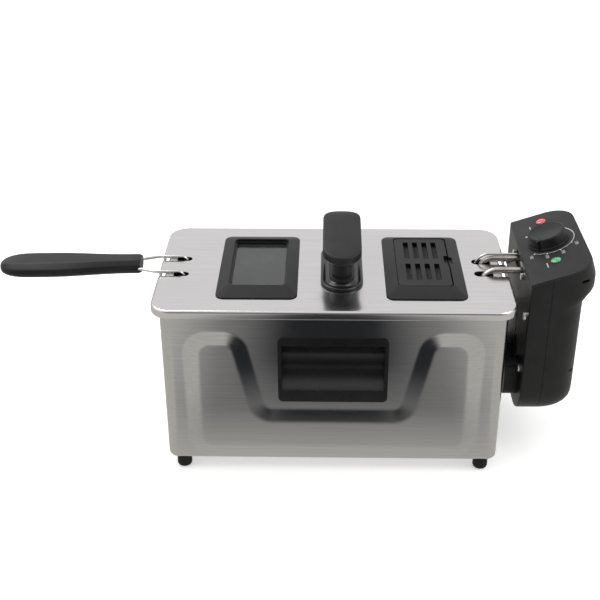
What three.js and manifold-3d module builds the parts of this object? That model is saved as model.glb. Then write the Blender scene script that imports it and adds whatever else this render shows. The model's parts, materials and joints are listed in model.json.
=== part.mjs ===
// A three-litre deep fryer with a steel body: housing, lift-out oil pot, plug-in control head with the
// heating element, frying basket with a detachable handle, and a loose lid with a window and a filter vent.
// Millimetres, +Z up. The housing lies along X, with the basket handle at -X and the control head at +X.
import * as THREE from "three";
import Module from "manifold-3d";
import { mergeVertices } from "three/addons/utils/BufferGeometryUtils.js";

// ---- Driving sizes --------------------------------------------------------------------------------------

const FIT = 0.3; // gap left between pieces that touch
const RUN = 0.5; // gap round pieces that slide or turn
const SHEET = 1.2; // thickness of the sheet steel
const MOULD = 2.2; // wall of the plastic mouldings

// Heights called above are measured up from the housing's underside, and sizes called in from its outside.
const HOUSING = { length: 330, width: 176, height: 169.2, corner: 11, lip: 5, floorRound: 4 };
const FOOT = { height: 14, radius: 7.5, flat: 4.5, fromEnd: 15, fromSide: 10, screwDepth: 9 };
const SCREW = { shank: 2, head: 4, headHeight: 2.4 };
const RIVET = { shank: 1.6, head: 3.2, headHeight: 1.4, fromEnd: 15 };
const PRESSING = { border: 13.5, rise: 2.2, inX: 29, topAbove: 141, lowAbove: 11, dipAbove: 53.5 };
const PRESSED_DIP = { top: 92, foot: 72 }; // half widths of the dip under the carry handle
const GRIP_RECESS = { width: 106, height: 72, above: 106, corner: 5, proud: 0.8 };
const TROUGH = { height: 50, depth: 15, cheek: 3.5, lift: 2 };
const AIR_SLOTS = { count: 5, pitch: 22, width: 6, length: 80 };

const POT = { floorAbove: 13, floorInX: 11.5, floorInY: 26, bendDown: 29.2, bendInX: 8.5, bendInY: 19.5 };
const POT_NECK = { down: 13.2, corner: 26, rimLap: 5 };

const LID = { overLength: 8.5, overWidth: 3.75, sheet: 1.1, skirt: 9, corner: 20 };
const SLOT = { wireRoom: 6, tubeRoom: 5, pastWire: 5, pastTube: 8 };

const WINDOW = { x: -73.8, length: 134, width: 78.3, sill: 11.8, backSill: 11, frontSill: 22.5, glass: 2.5 };
const FRAME = { rise: 3.4, corner: 8, collar: 9, ledge: 2.6 };
const VENT = { x: 89.3, width: 77.6, length: 135, side: 12, backSide: 8, frontSide: 22, slotWidth: 5.2 };
const VENT_ROWS = [{ from: -32.3, to: 2.1 }, { from: 13.4, to: 50.2 }];
const VENT_COLUMNS = { count: 4, pitch: 9.5, shift: -4.8 };
const FILTER = { thickness: 7, floor: 1.6 };
const PIVOT = { radius: 1.4, stub: 1.6 };

const LID_HANDLE = { x: 8.3, baseWidth: 41.5, baseFront: -53, baseBack: 46, baseHeight: 4.2, padWidth: 37.5 };
const PAD = { front: -52, back: 40, frontTop: 36.5, backTop: 47.5, thickness: 10 };
const STEM = { width: 21, front: -40, back: 22 };

const TUBE = { radius: 3.25, spread: 13, riserIn: 18, overLid: 1.1, bend: 15, coilBend: 11, floorGap: 7.5 };
const COIL = { leftIn: 47, turnBack: 42, innerBack: 77, innerY: 17, outerIn: 38 };
const CAPILLARY = 1.2; // radius of the thermostat's sensing line
const BULB = { radius: 3, length: 60 };

const HEAD = { gap: 20, width: 140, depth: 54.5, bottomAbove: 37, edgeUp: 20.8, corner: 25, foot: 35, toe: 26 };
const FLARE = { depth: 64.5, corner: 28, lowDown: 23, noseDown: 10, noseUp: 2, panelDepth: 58.5 };
const PANEL = { slope: 18.8, thickness: 3, knobDepth: 27.5, knobY: 7, lampGap: 43.5 };
const SEAM = 20.3; // depth of the head's inner shell
const SPACER = { reach: 13, inner: 27, outer: 48, height: 40, lift: 14, corner: 8 };
const RAIL = { lowAbove: 61, topAbove: 132, plate: 22, web: 13, webWall: 2, reach: 26, depth: 9 };
const RAIL_POCKET = { plateRoom: 3, webRoom: 2.5, topRoom: 4 };
const KNOB = { foot: 20.5, top: 18.3, height: 11.5, shaft: 3, pointer: 235 };
const LAMP = { radius: 4.9, rise: 1.6 };
const RESET = { y: 42, above: 111, radius: 3, travel: 2, stand: 3 };
const CUTOUT = { half: 12, room: 3.3 };
const PLUNGER = { radius: 2, length: 10.5, inFace: 5 };
const SWITCH = { half: 10, height: 13, depth: 12 };
const TERMINALS = { inFace: 24, depth: 16, half: 20, above: 82, height: 12 };
const PLATE_SCREW = { y: 26, shank: 1.8, head: 3.4, headHeight: 2.2 };
const BOSS = { radius: 5, screwLength: 10, spots: [[-60, 151], [60, 151], [-57, 91], [57, 91]] };
const GLAND = { y: 35, above: 74, radius: 8, bore: 3.5, stand: 6 };

const BASKET = { leftIn: 31, offRiser: 29, sideIn: 26, overCoil: 20.3, underRim: 26.7 };
const MESH = { taper: 5, wall: 0.6, corner: 22 };
const BASKET_RIM = { width: 4, height: 4 };
const WIRE = { radius: 1.5, spread: 16.5, inX: 17, overLid: 0.9, sleeve: 30, pinch: 10 };
const GRIP = { length: 143, width: 38, height: 17, droop: 3, gapToLid: 18.5 };

// ---- Sizes that follow ----------------------------------------------------------------------------------

const halfLength = HOUSING.length / 2;
const halfWidth = HOUSING.width / 2;
const housingTop = FOOT.height + HOUSING.height;
const rimTop = housingTop + FIT + SHEET;
const lidUnder = rimTop + FIT;
const lidTop = lidUnder + LID.sheet;
const lidX = halfLength + LID.overLength;
const lidY = halfWidth + LID.overWidth;
const frameTop = lidTop + FIT + FRAME.rise;
const tubeZ = lidTop + TUBE.overLid + TUBE.radius;
const wireZ = lidTop + WIRE.overLid + WIRE.radius;
const potFloor = FOOT.height + POT.floorAbove;
const coilZ = potFloor + SHEET + TUBE.floorGap;
const riserX = halfLength - TUBE.riserIn;
const coilOuterY = halfWidth - COIL.outerIn;
const coilLeft = COIL.leftIn - halfLength;
const coilInner = riserX - COIL.innerBack;
const wireX = WIRE.inX - halfLength;
const faceX = halfLength + HEAD.gap;
const headBottom = FOOT.height + HEAD.bottomAbove;
const edgeZ = housingTop + HEAD.edgeUp;
const slope = THREE.MathUtils.degToRad(PANEL.slope);
const recessZ = FOOT.height + GRIP_RECESS.above;
const railLow = FOOT.height + RAIL.lowAbove;
const railTop = FOOT.height + RAIL.topAbove;
const rivetHeights = [railLow + RIVET.fromEnd, railTop - RIVET.fromEnd];
const resetZ = FOOT.height + RESET.above;
const glandZ = FOOT.height + GLAND.above;
const plungerX = faceX + PLUNGER.inFace;
const basketLeft = BASKET.leftIn - halfLength;
const basketRight = riserX - BASKET.offRiser;
const basketHalfY = halfWidth - BASKET.sideIn;
const basketBottom = coilZ + BASKET.overCoil;
const basketTop = rimTop - BASKET.underRim;
const wireFoot = basketTop - WIRE.sleeve;
const footSpots = [-1, 1].flatMap((x) => [-1, 1].map((y) => [
  x * (halfLength - FOOT.fromEnd),
  y * (halfWidth - FOOT.fromSide),
]));
const bossSpots = BOSS.spots.map(([y, above]) => [y, FOOT.height + above]);

// ---- Solids ---------------------------------------------------------------------------------------------

const wasm = await Module();
wasm.setup();

// A closed three.js geometry as a manifold-3d solid.
function solid(geometry) {
  const bare = geometry.clone();
  bare.deleteAttribute("normal");
  bare.deleteAttribute("uv");
  const merged = mergeVertices(bare, 1e-4);
  const vertProperties = merged.attributes.position.array;
  const triVerts = new Uint32Array(merged.index.array);
  return new wasm.Manifold(new wasm.Mesh({ numProp: 3, vertProperties, triVerts }));
}

// A solid's faces as a three.js geometry.
function geometryOf(body) {
  const { vertProperties, triVerts } = body.getMesh();
  const geometry = new THREE.BufferGeometry();
  geometry.setAttribute("position", new THREE.BufferAttribute(vertProperties, 3));
  geometry.setIndex(new THREE.BufferAttribute(triVerts, 1));
  return geometry;
}

const moved = (body, matrix) => solid(geometryOf(body).applyMatrix4(matrix));
const join = (first, ...others) => others.reduce((sum, next) => sum.add(next), first);
const cut = (first, ...others) => others.reduce((rest, next) => rest.subtract(next), first);

function box([x0, x1], [y0, y1], [z0, z1]) {
  const block = new THREE.BoxGeometry(x1 - x0, y1 - y0, z1 - z0);
  return solid(block.translate((x0 + x1) / 2, (y0 + y1) / 2, (z0 + z1) / 2));
}

// A rounded rectangle as an outline; its corner is kept within its own half sizes.
function roundRect(halfX, halfY, radius, x = 0, y = 0) {
  const r = Math.min(radius, halfX - 0.01, halfY - 0.01);
  const shape = new THREE.Shape();
  shape.absarc(x + halfX - r, y - halfY + r, r, -Math.PI / 2, 0);
  shape.absarc(x + halfX - r, y + halfY - r, r, 0, Math.PI / 2);
  shape.absarc(x - halfX + r, y + halfY - r, r, Math.PI / 2, Math.PI);
  shape.absarc(x - halfX + r, y - halfY + r, r, Math.PI, 1.5 * Math.PI);
  return shape;
}

// An outline pushed out along an axis: (x, y) along Z, (y, z) along X, or (x, z) along Y.
function prism(shape, from, to, axis = "z", curveSegments = 2) {
  const body = new THREE.ExtrudeGeometry(shape, { depth: to - from, bevelEnabled: false, curveSegments });
  const turn = new THREE.Matrix4();
  if (axis === "z") turn.makeTranslation(0, 0, from);
  if (axis === "x") turn.set(0, 0, 1, from, 1, 0, 0, 0, 0, 1, 0, 0, 0, 0, 0, 1);
  if (axis === "y") turn.set(1, 0, 0, 0, 0, 0, -1, to, 0, 1, 0, 0, 0, 0, 0, 1);
  return solid(body.applyMatrix4(turn));
}

function polygon(...points) {
  return new THREE.Shape(points.map(([x, y]) => new THREE.Vector2(x, y)));
}

// A round bar between two points.
function rod(from, to, radius, sides = 16) {
  const [start, end] = [new THREE.Vector3(...from), new THREE.Vector3(...to)];
  const way = end.clone().sub(start);
  const bar = new THREE.CylinderGeometry(radius, radius, way.length(), sides);
  const turn = new THREE.Quaternion().setFromUnitVectors(new THREE.Vector3(0, 1, 0), way.clone().normalize());
  const middle = start.add(end).multiplyScalar(0.5);
  return solid(bar.applyQuaternion(turn).translate(middle.x, middle.y, middle.z));
}

// A profile of [radius, height] turned about Z and set down at a point.
function turned(profile, [x, y, z], sides = 20) {
  const points = profile.map(([r, h]) => new THREE.Vector2(r, h));
  return solid(new THREE.LatheGeometry(points, sides).rotateX(Math.PI / 2).translate(x, y, z));
}

// One level of a rounded rectangle, anticlockwise from above.
function level(halfX, halfY, radius, z, x = 0, y = 0, steps = 2) {
  const outline = roundRect(halfX, halfY, Math.max(radius, 1.5), x, y);
  const points = outline.extractPoints(steps).shape;
  const open = points.filter((point, i) => i === 0 || point.distanceTo(points[i - 1]) > 1e-4);
  if (open[0].distanceTo(open[open.length - 1]) < 1e-4) open.pop();
  return open.map((point) => new THREE.Vector3(point.x, point.y, z));
}

// A skin over levels of equal point count, closed by its first and last level or, as a ring, onto itself.
function loft(levels, ring = false) {
  const count = levels[0].length;
  const index = [];
  const last = ring ? levels.length : levels.length - 1;
  for (let k = 0; k < last; k++) {
    const [low, high] = [k * count, ((k + 1) % levels.length) * count];
    for (let i = 0; i < count; i++) {
      const j = (i + 1) % count;
      index.push(low + i, low + j, high + j, low + i, high + j, high + i);
    }
  }
  const end = (levels.length - 1) * count;
  for (let i = 1; !ring && i < count - 1; i++) index.push(0, i + 1, i, end, end + i, end + i + 1);
  const body = new THREE.BufferGeometry().setFromPoints(levels.flat());
  return solid(body.setIndex(index));
}

// A route through points with a rounded bend at each inner one, sampled only where it turns.
class BentPath extends THREE.Curve {
  constructor(corners, bends, steps = 3) {
    super();
    const at = corners.map((corner) => new THREE.Vector3(...corner));
    this.stations = [at[0]];
    for (let i = 1; i < at.length - 1; i++) {
      const back = at[i - 1].clone().sub(at[i]);
      const on = at[i + 1].clone().sub(at[i]);
      const radius = Array.isArray(bends) ? bends[i - 1] : bends;
      const half = back.angleTo(on) / 2;
      const reach = Math.min(radius / Math.tan(half), 0.48 * back.length(), 0.48 * on.length());
      const [start, end] = [back, on].map((way) => at[i].clone().addScaledVector(way.normalize(), reach));
      const round = reach * Math.tan(half);
      const middle = back.add(on).normalize().multiplyScalar(round / Math.sin(half)).add(at[i]);
      const [from, to] = [start.sub(middle), end.sub(middle)];
      const sweep = from.angleTo(to);
      for (let k = 0; k <= steps; k++) {
        const part = k / steps;
        const a = Math.sin((1 - part) * sweep) / Math.sin(sweep);
        const b = Math.sin(part * sweep) / Math.sin(sweep);
        this.stations.push(middle.clone().addScaledVector(from, a).addScaledVector(to, b));
      }
    }
    this.stations.push(at[at.length - 1]);
  }
  getPoint(t, target = new THREE.Vector3()) {
    const place = t * (this.stations.length - 1);
    const i = Math.min(Math.floor(place + 1e-9), this.stations.length - 2);
    return target.lerpVectors(this.stations[i], this.stations[i + 1], place - i);
  }
  getPointAt(t, target) {
    return this.getPoint(t, target);
  }
  getTangentAt(t, target = new THREE.Vector3()) {
    const i = Math.round(t * (this.stations.length - 1));
    const before = this.stations[Math.max(i - 1, 0)];
    const here = this.stations[i];
    const after = this.stations[Math.min(i + 1, this.stations.length - 1)];
    const arriving = here.clone().sub(before).normalize();
    const leaving = after.clone().sub(here).normalize();
    return target.copy(arriving.add(leaving).normalize());
  }
}

// A round bar along a bent path.
function bentRod(path, radius, sides = 8) {
  const section = new THREE.Shape();
  section.absarc(0, 0, radius, 0, 2 * Math.PI);
  const steps = path.stations.length - 1;
  const round = { steps, curveSegments: sides / 2, bevelEnabled: false, extrudePath: path };
  return solid(new THREE.ExtrudeGeometry(section, round));
}

// ---- Materials and the assembly -------------------------------------------------------------------------

const finish = (color, roughness, metalness = 0) =>
  new THREE.MeshStandardMaterial({ color, roughness, metalness });
const brushedSteel = () => finish(0xc4c2c1, 0.38, 1);
const polishedSteel = () => finish(0xd6d4d0, 0.18, 1);
const blackPlastic = () => finish(0x2b2b2c, 0.5);
const greyPlastic = () => finish(0x3e3e3f, 0.5);
const rubber = () => finish(0x161616, 0.85);
const tintedGlass = () => finish(0x60615f, 0.12);
const redGlow = () => finish(0xd82030, 0.25);
const greenGlow = () => finish(0x2f9a50, 0.25);
const felt = () => finish(0x4a4b49, 0.95);
const whiteCeramic = () => finish(0xd9d4c8, 0.7);

const fryer = new THREE.Group();

function place(name, body, material) {
  const geometry = geometryOf(body);
  geometry.computeVertexNormals();
  const mesh = new THREE.Mesh(geometry, material);
  mesh.name = name;
  fryer.add(mesh);
  return mesh;
}

// ---- Housing --------------------------------------------------------------------------------------------

// An outline moved outwards, each side along its own normal, with rounded corners.
function offsetLoop(points, distance, round) {
  const count = points.length;
  const corners = points.map((point, i) => {
    const [before, after] = [points[(i + count - 1) % count], points[(i + 1) % count]];
    const arrive = new THREE.Vector2(point[0] - before[0], point[1] - before[1]).normalize();
    const leave = new THREE.Vector2(after[0] - point[0], after[1] - point[1]).normalize();
    const out = new THREE.Vector2(arrive.y + leave.y, -arrive.x - leave.x).normalize();
    const reach = distance / out.dot(new THREE.Vector2(arrive.y, -arrive.x));
    return new THREE.Vector2(point[0], point[1]).addScaledVector(out, reach);
  });
  const shape = new THREE.Shape();
  corners.forEach((corner, i) => {
    const [before, after] = [corners[(i + count - 1) % count], corners[(i + 1) % count]];
    const start = corner.clone().lerp(before, round / corner.distanceTo(before));
    const end = corner.clone().lerp(after, round / corner.distanceTo(after));
    if (i === 0) shape.moveTo(start.x, start.y);
    else shape.lineTo(start.x, start.y);
    shape.quadraticCurveTo(corner.x, corner.y, end.x, end.y);
  });
  shape.closePath();
  return shape;
}

// The raised panel pressed into a long side: a U round the carry handle, with a sloping border.
function pressedPanel() {
  const end = halfLength - PRESSING.inX;
  const above = [PRESSING.lowAbove, PRESSING.dipAbove, PRESSING.topAbove];
  const [low, dip, top] = above.map((up) => FOOT.height + up);
  const half = [[end, low], [end, top], [PRESSED_DIP.top, top], [PRESSED_DIP.foot, dip]];
  const loop = [...half, ...half.map(([x, z]) => [-x, z]).reverse()];
  const outer = offsetLoop(loop, PRESSING.border / 2, 14);
  const inner = offsetLoop(loop, -PRESSING.border / 2, 8);
  const [front, buried] = [-halfWidth - PRESSING.rise, SHEET / 2 - halfWidth];
  const at = (shape, y) => {
    const points = shape.getPoints(2).slice(0, -1);
    return points.map((point) => new THREE.Vector3(point.x, y, point.y));
  };
  const border = loft([at(outer, buried), at(outer, -halfWidth), at(inner, front), at(inner, buried)], true);
  return join(border, prism(inner, front, buried, "y"));
}

const handlePocket = (grow, from, to) => {
  const { width, height, corner } = GRIP_RECESS;
  return prism(roundRect(width / 2 + grow, height / 2 + grow, corner + grow, 0, recessZ), from, to, "y");
};

function housing() {
  const bottom = FOOT.height;
  const round = HOUSING.floorRound;
  const ring = (inset, z) => level(halfLength - inset, halfWidth - inset, HOUSING.corner - inset, z);
  const floorLip = FOOT.fromSide + SCREW.head + 2;
  let shell = loft([
    ring(floorLip, bottom),
    ring(round, bottom),
    ring(round * 0.3, bottom + round * 0.3),
    ring(0, bottom + round),
    ring(0, housingTop),
    ring(HOUSING.lip, housingTop),
    ring(HOUSING.lip, housingTop - SHEET),
    ring(SHEET, housingTop - SHEET),
    ring(SHEET, bottom + round),
    ring(round * 0.3 + SHEET, bottom + round * 0.3 + SHEET),
    ring(round, bottom + SHEET),
    ring(floorLip, bottom + SHEET),
  ], true);
  const panel = pressedPanel();
  const behind = moved(panel, new THREE.Matrix4().makeTranslation(0, SHEET, 0));
  const rearward = new THREE.Matrix4().makeRotationZ(Math.PI);
  shell = join(shell, panel, moved(panel, rearward));
  shell = cut(shell, behind, moved(behind, rearward));
  shell = cut(shell, handlePocket(FIT, -halfWidth - 5, halfWidth + 5));
  for (const [x, y] of footSpots) {
    shell = cut(shell, rod([x, y, 0], [x, y, bottom + 5], SCREW.shank + FIT));
  }
  for (const z of rivetHeights) {
    shell = cut(shell, rod([halfLength - 5, 0, z], [halfLength + 5, 0, z], RIVET.shank + FIT, 12));
  }
  place("housing_shell", shell, brushedSteel());
}

function basePlate() {
  const low = FOOT.height + SHEET + FIT;
  const inset = HOUSING.floorRound + SHEET + FIT;
  let plate = prism(roundRect(halfLength - inset, halfWidth - inset, HOUSING.corner), low, low + SHEET);
  for (const [x, y] of footSpots) {
    plate = cut(plate, rod([x, y, low - 1], [x, y, low + SHEET + 1], SCREW.shank + FIT));
  }
  const half = AIR_SLOTS.width / 2;
  for (let i = 0; i < AIR_SLOTS.count; i++) {
    const x = (i - (AIR_SLOTS.count - 1) / 2) * AIR_SLOTS.pitch;
    plate = cut(plate, prism(roundRect(half, AIR_SLOTS.length / 2, half, x, 0), low - 1, low + SHEET + 1));
  }
  place("base_plate", plate, brushedSteel());
}

function feet() {
  for (const [x, y] of footSpots) {
    const name = (y < 0 ? "front" : "rear") + (x < 0 ? "_left" : "_right");
    const top = FOOT.height - FIT;
    const round = [[FOOT.flat, 0], [FOOT.radius - 0.8, 1.6], [FOOT.radius, 4]];
    const profile = [[0, 0], ...round, [FOOT.radius, top], [0, top]];
    const hole = rod([x, y, top - FOOT.screwDepth], [x, y, top + 1], SCREW.shank + FIT, 12);
    place("foot_" + name, cut(turned(profile, [x, y, 0]), hole), rubber());
    place("foot_screw_" + name, footScrew(x, y), polishedSteel());
  }
}

function footScrew(x, y) {
  const seat = FOOT.height + 2 * (SHEET + FIT);
  const shank = rod([x, y, FOOT.height - FOOT.screwDepth + 1], [x, y, seat + 1], SCREW.shank, 10);
  return join(shank, rod([x, y, seat], [x, y, seat + SCREW.headHeight], SCREW.head, 10));
}

// The black moulding let into a long side: a face plate with a hollow trough to lift by.
function carryHandles() {
  const face = -halfWidth - GRIP_RECESS.proud;
  const half = TROUGH.height / 2;
  const radius = (half * half + TROUGH.depth ** 2) / (2 * TROUGH.depth);
  const axisY = face - (radius - TROUGH.depth);
  const troughEnd = GRIP_RECESS.width / 2 - TROUGH.cheek;
  const troughZ = recessZ + TROUGH.lift;
  const barrel = (r, x) => rod([-x, axisY, troughZ], [x, axisY, troughZ], r, 36);
  const inside = box([-GRIP_RECESS.width, GRIP_RECESS.width], [face + 1, 0], [0, housingTop]);
  const back = barrel(radius + MOULD, troughEnd + MOULD).intersect(inside);
  const plate = handlePocket(0, face, face + MOULD + 1.6);
  const body = cut(join(plate, back), barrel(radius, troughEnd));
  place("carry_handle_front", body, blackPlastic());
  place("carry_handle_rear", body, blackPlastic()).rotation.z = Math.PI;
}

// ---- Rail that holds the control head --------------------------------------------------------------------

function guideRail() {
  const wall = halfLength + FIT;
  const front = wall + RAIL.reach;
  const tall = [railLow, railTop];
  let rail = box([wall, wall + RAIL.webWall], [-RAIL.plate, RAIL.plate], tall);
  for (const side of [-1, 1]) {
    const web = [side * RAIL.web, side * (RAIL.web - RAIL.webWall)].sort((a, b) => a - b);
    const wing = [side * RAIL.plate, side * (RAIL.web - RAIL.webWall)].sort((a, b) => a - b);
    rail = join(rail, box([wall, front], web, tall), box([front - RAIL.webWall, front], wing, tall));
  }
  rail = join(rail, box([wall, front], [-RAIL.web, RAIL.web], [railTop - RAIL.webWall, railTop]));
  rivetHeights.forEach((z, i) => {
    rail = cut(rail, rod([wall - 1, 0, z], [wall + 4, 0, z], RIVET.shank + FIT, 12));
    const outer = wall + RAIL.webWall + FIT;
    const inner = halfLength - SHEET - FIT;
    const shank = rod([inner, 0, z], [outer, 0, z], RIVET.shank, 10);
    const heads = [[inner - RIVET.headHeight, inner], [outer, outer + RIVET.headHeight]];
    const [tail, cap] = heads.map(([a, b]) => rod([a, 0, z], [b, 0, z], RIVET.head, 10));
    place("rail_rivet_" + ["lower", "upper"][i], join(shank, tail, cap), polishedSteel());
  });
  place("guide_rail", rail, brushedSteel());
}

// ---- Oil pot --------------------------------------------------------------------------------------------

function oilPot() {
  const neckX = halfLength - HOUSING.lip - SHEET;
  const neckY = halfWidth - HOUSING.lip - SHEET;
  const rimX = halfLength + 2 * RUN;
  const rimY = halfWidth + 2 * FIT;
  const edge = housingTop - POT_NECK.rimLap;
  const [floorX, floorY] = [halfLength - POT.floorInX, halfWidth - POT.floorInY];
  const corner = POT_NECK.corner;
  const outer = [
    [floorX - 6, floorY - 6, corner - 6, potFloor],
    [floorX - 1.5, floorY - 1.5, corner - 2, potFloor + 2],
    [floorX, floorY, corner, potFloor + 7],
    [halfLength - POT.bendInX, halfWidth - POT.bendInY, corner, housingTop - POT.bendDown],
    [neckX, neckY, corner, housingTop - POT_NECK.down],
    [neckX, neckY, corner, rimTop - SHEET],
    [rimX, rimY, HOUSING.corner + 2, rimTop - SHEET],
    [rimX, rimY, HOUSING.corner + 2, edge],
    [rimX + SHEET, rimY + SHEET, HOUSING.corner + 3, edge],
    [rimX + SHEET, rimY + SHEET, HOUSING.corner + 3, rimTop - 1],
    [rimX + SHEET - 1, rimY + SHEET - 1, HOUSING.corner + 2, rimTop],
  ];
  const inner = [[neckX, neckY, corner, rimTop], ...outer.slice(0, 5).reverse()].map(
    ([x, y, r, z]) => [x - SHEET, y - SHEET, r - SHEET, z < potFloor + 10 ? z + SHEET : z],
  );
  place("oil_pot", loft([...outer, ...inner].map((size) => level(...size))), brushedSteel());
}

// ---- Heating element and sensor ---------------------------------------------------------------------------

function heatingElement() {
  const ends = faceX + 13;
  const turn = riserX - COIL.turnBack;
  const { spread, bend, coilBend } = TUBE;
  const half = [
    [ends, spread, tubeZ],
    [riserX, spread, tubeZ],
    [riserX, spread, coilZ],
    [turn, spread, coilZ],
    [turn, coilOuterY, coilZ],
    [coilLeft, coilOuterY, coilZ],
    [coilLeft, COIL.innerY, coilZ],
    [coilInner, COIL.innerY, coilZ],
  ];
  const route = [...half, ...half.map(([x, y, z]) => [x, -y, z]).reverse()];
  const bends = route.slice(1, -1).map((at, i) => (i === 0 || i === route.length - 3 ? bend : coilBend));
  place("heating_element", bentRod(new BentPath(route, bends), TUBE.radius), polishedSteel());
}

function sensor() {
  const lift = TUBE.radius + CAPILLARY + FIT;
  const downX = riserX - lift;
  const bulbZ = coilZ + TUBE.radius + BULB.radius + 3;
  const y = TUBE.spread;
  const start = [faceX + 12, y, tubeZ + lift];
  const route = [start, [downX, y, tubeZ + lift], [downX, y, bulbZ], [downX - 20, y, bulbZ]];
  const line = bentRod(new BentPath(route, [TUBE.bend, 6]), CAPILLARY, 6);
  const neck = downX - 12;
  const bulb = rod([neck, y, bulbZ], [neck - BULB.length, y, bulbZ], BULB.radius, 12);
  place("thermostat_sensor", join(line, bulb), polishedSteel());
}

// Strips that carry the coil clear of the pot's floor.
function elementSupports() {
  const top = coilZ - TUBE.radius - FIT;
  const foot = potFloor + SHEET + FIT;
  for (const [name, x] of [["left", coilLeft / 2], ["right", coilInner / 2]]) {
    const width = [x - 4, x + 4];
    const reach = coilOuterY + 5;
    let strip = box(width, [-reach, reach], [top - SHEET, top]);
    for (const y of [-reach, 0, reach]) {
      const leg = [Math.max(y - SHEET, -reach), Math.min(y + SHEET, reach)];
      strip = join(strip, box(width, leg, [foot, top]));
    }
    place("element_support_" + name, strip, polishedSteel());
  }
}

// ---- Control head ---------------------------------------------------------------------------------------

// The panel's frame: its origin on the panel at the knob, local Z out of the panel.
const panelFrame = new THREE.Matrix4()
  .makeRotationY(-slope)
  .setPosition(faceX + PANEL.knobDepth, PANEL.knobY, edgeZ + PANEL.knobDepth * Math.tan(slope));

const onPanel = (body) => moved(body, panelFrame);
const abovePanel = (height) => onPanel(box([-200, 200], [-200, 200], [height, 200]));

// The head's outside shape, drawn in by a wall thickness for its hollow.
function headForm(inset) {
  const x = faceX + inset;
  const tall = edgeZ + 60;
  const halfY = HEAD.width / 2 - inset;
  const low = headBottom + inset;
  const plan = (depth, corner) => {
    const right = faceX + depth - inset;
    const r = corner - inset;
    const shape = new THREE.Shape().moveTo(x, -halfY).lineTo(right - r, -halfY);
    shape.absarc(right - r, -halfY + r, r, -Math.PI / 2, 0);
    shape.absarc(right - r, halfY - r, r, 0, Math.PI / 2);
    shape.lineTo(x, halfY);
    return shape;
  };
  const bodyX = faceX + HEAD.depth - inset;
  const side = new THREE.Shape().moveTo(x, tall).lineTo(x, low);
  side.lineTo(bodyX - HEAD.toe, low);
  side.absarc(bodyX - HEAD.toe, low + HEAD.toe, HEAD.toe, -Math.PI / 2, 0);
  side.lineTo(bodyX, tall);
  const foot = HEAD.foot - inset;
  const front = new THREE.Shape().moveTo(-halfY, tall).lineTo(-halfY, low + foot);
  front.absarc(-halfY + foot, low + foot, foot, Math.PI, 1.5 * Math.PI);
  front.absarc(halfY - foot, low + foot, foot, 1.5 * Math.PI, 2 * Math.PI);
  front.lineTo(halfY, tall);
  const body = prism(plan(HEAD.depth, HEAD.corner), low, tall)
    .intersect(prism(side, -halfY - 1, halfY + 1, "y"))
    .intersect(prism(front, x - 1, x + 200, "x"));
  const nose = faceX + FLARE.depth - inset;
  const lip = faceX + FLARE.panelDepth - inset;
  const lipZ = edgeZ + FLARE.panelDepth * Math.tan(slope);
  const lift = inset * 0.6;
  const beak = polygon(
    [x, edgeZ - FLARE.lowDown + lift],
    [bodyX, edgeZ - FLARE.lowDown + lift],
    [nose, edgeZ - FLARE.noseDown + lift],
    [nose, edgeZ + FLARE.noseUp],
    [lip, lipZ],
    [lip, tall],
    [x, tall],
  );
  const flare = prism(plan(FLARE.depth, FLARE.corner), low, tall)
    .intersect(prism(beak, -halfY - 1, halfY + 1, "y"));
  return cut(body.add(flare), abovePanel(-inset));
}

const railHollow = {
  wide: RAIL.plate + RAIL_POCKET.plateRoom,
  narrow: RAIL.web + RAIL_POCKET.webRoom,
  top: railTop + RAIL_POCKET.topRoom,
};

// The pocket in the head's inner face that slides down over the rail.
function railPocket() {
  const face = faceX;
  const deep = face + RAIL.depth;
  const tall = [headBottom - 1, railHollow.top];
  const block = box(
    [face, deep + MOULD],
    [-railHollow.wide - MOULD, railHollow.wide + MOULD],
    [headBottom, railHollow.top + MOULD],
  );
  const mouth = box([face - 40, face + MOULD + 1], [-railHollow.narrow, railHollow.narrow], tall);
  const wings = box([face + MOULD, deep], [-railHollow.wide, railHollow.wide], tall);
  return { block, hollow: join(mouth, wings) };
}

function headInnerShell(form, hollow) {
  const seamX = faceX + SEAM;
  const pocket = railPocket();
  let shell = cut(form, hollow).add(pocket.block.intersect(form));
  for (const side of [-1, 1]) {
    const [half, middle] = [(SPACER.outer - SPACER.inner) / 2, (SPACER.outer + SPACER.inner) / 2];
    const lift = headBottom + SPACER.lift + SPACER.height / 2;
    const outline = roundRect(half, SPACER.height / 2, SPACER.corner, side * middle, lift);
    shell = join(shell, prism(outline, faceX - SPACER.reach, faceX + 1, "x"));
  }
  shell = cut(shell, pocket.hollow, abovePanel(-PANEL.thickness - FIT));
  shell = cut(shell, box([seamX, 400], [-100, 100], [0, 300]));
  const mouthHalf = TUBE.spread + 8;
  shell = cut(shell, box([faceX - 1, faceX + MOULD + 1], [-mouthHalf, mouthHalf], [tubeZ - 8, tubeZ + 8]));
  for (const y of [-PLATE_SCREW.y, PLATE_SCREW.y]) {
    shell = cut(shell, rod([faceX - 2, y, tubeZ], [faceX + 4, y, tubeZ], PLATE_SCREW.shank + FIT, 10));
  }
  shell = cut(shell, rod([faceX - 2, RESET.y, resetZ], [faceX + 4, RESET.y, resetZ], RESET.radius + RUN));
  const pocketTop = railHollow.top;
  const hole = rod([plungerX, 0, pocketTop - 1], [plungerX, 0, pocketTop + 4], PLUNGER.radius + RUN, 12);
  shell = cut(shell, hole);
  for (const [y, z] of bossSpots) {
    shell = cut(shell, rod([faceX - 2, y, z], [faceX + 4, y, z], SCREW.shank + FIT, 10));
  }
  place("head_inner_shell", shell, blackPlastic());
}

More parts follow.
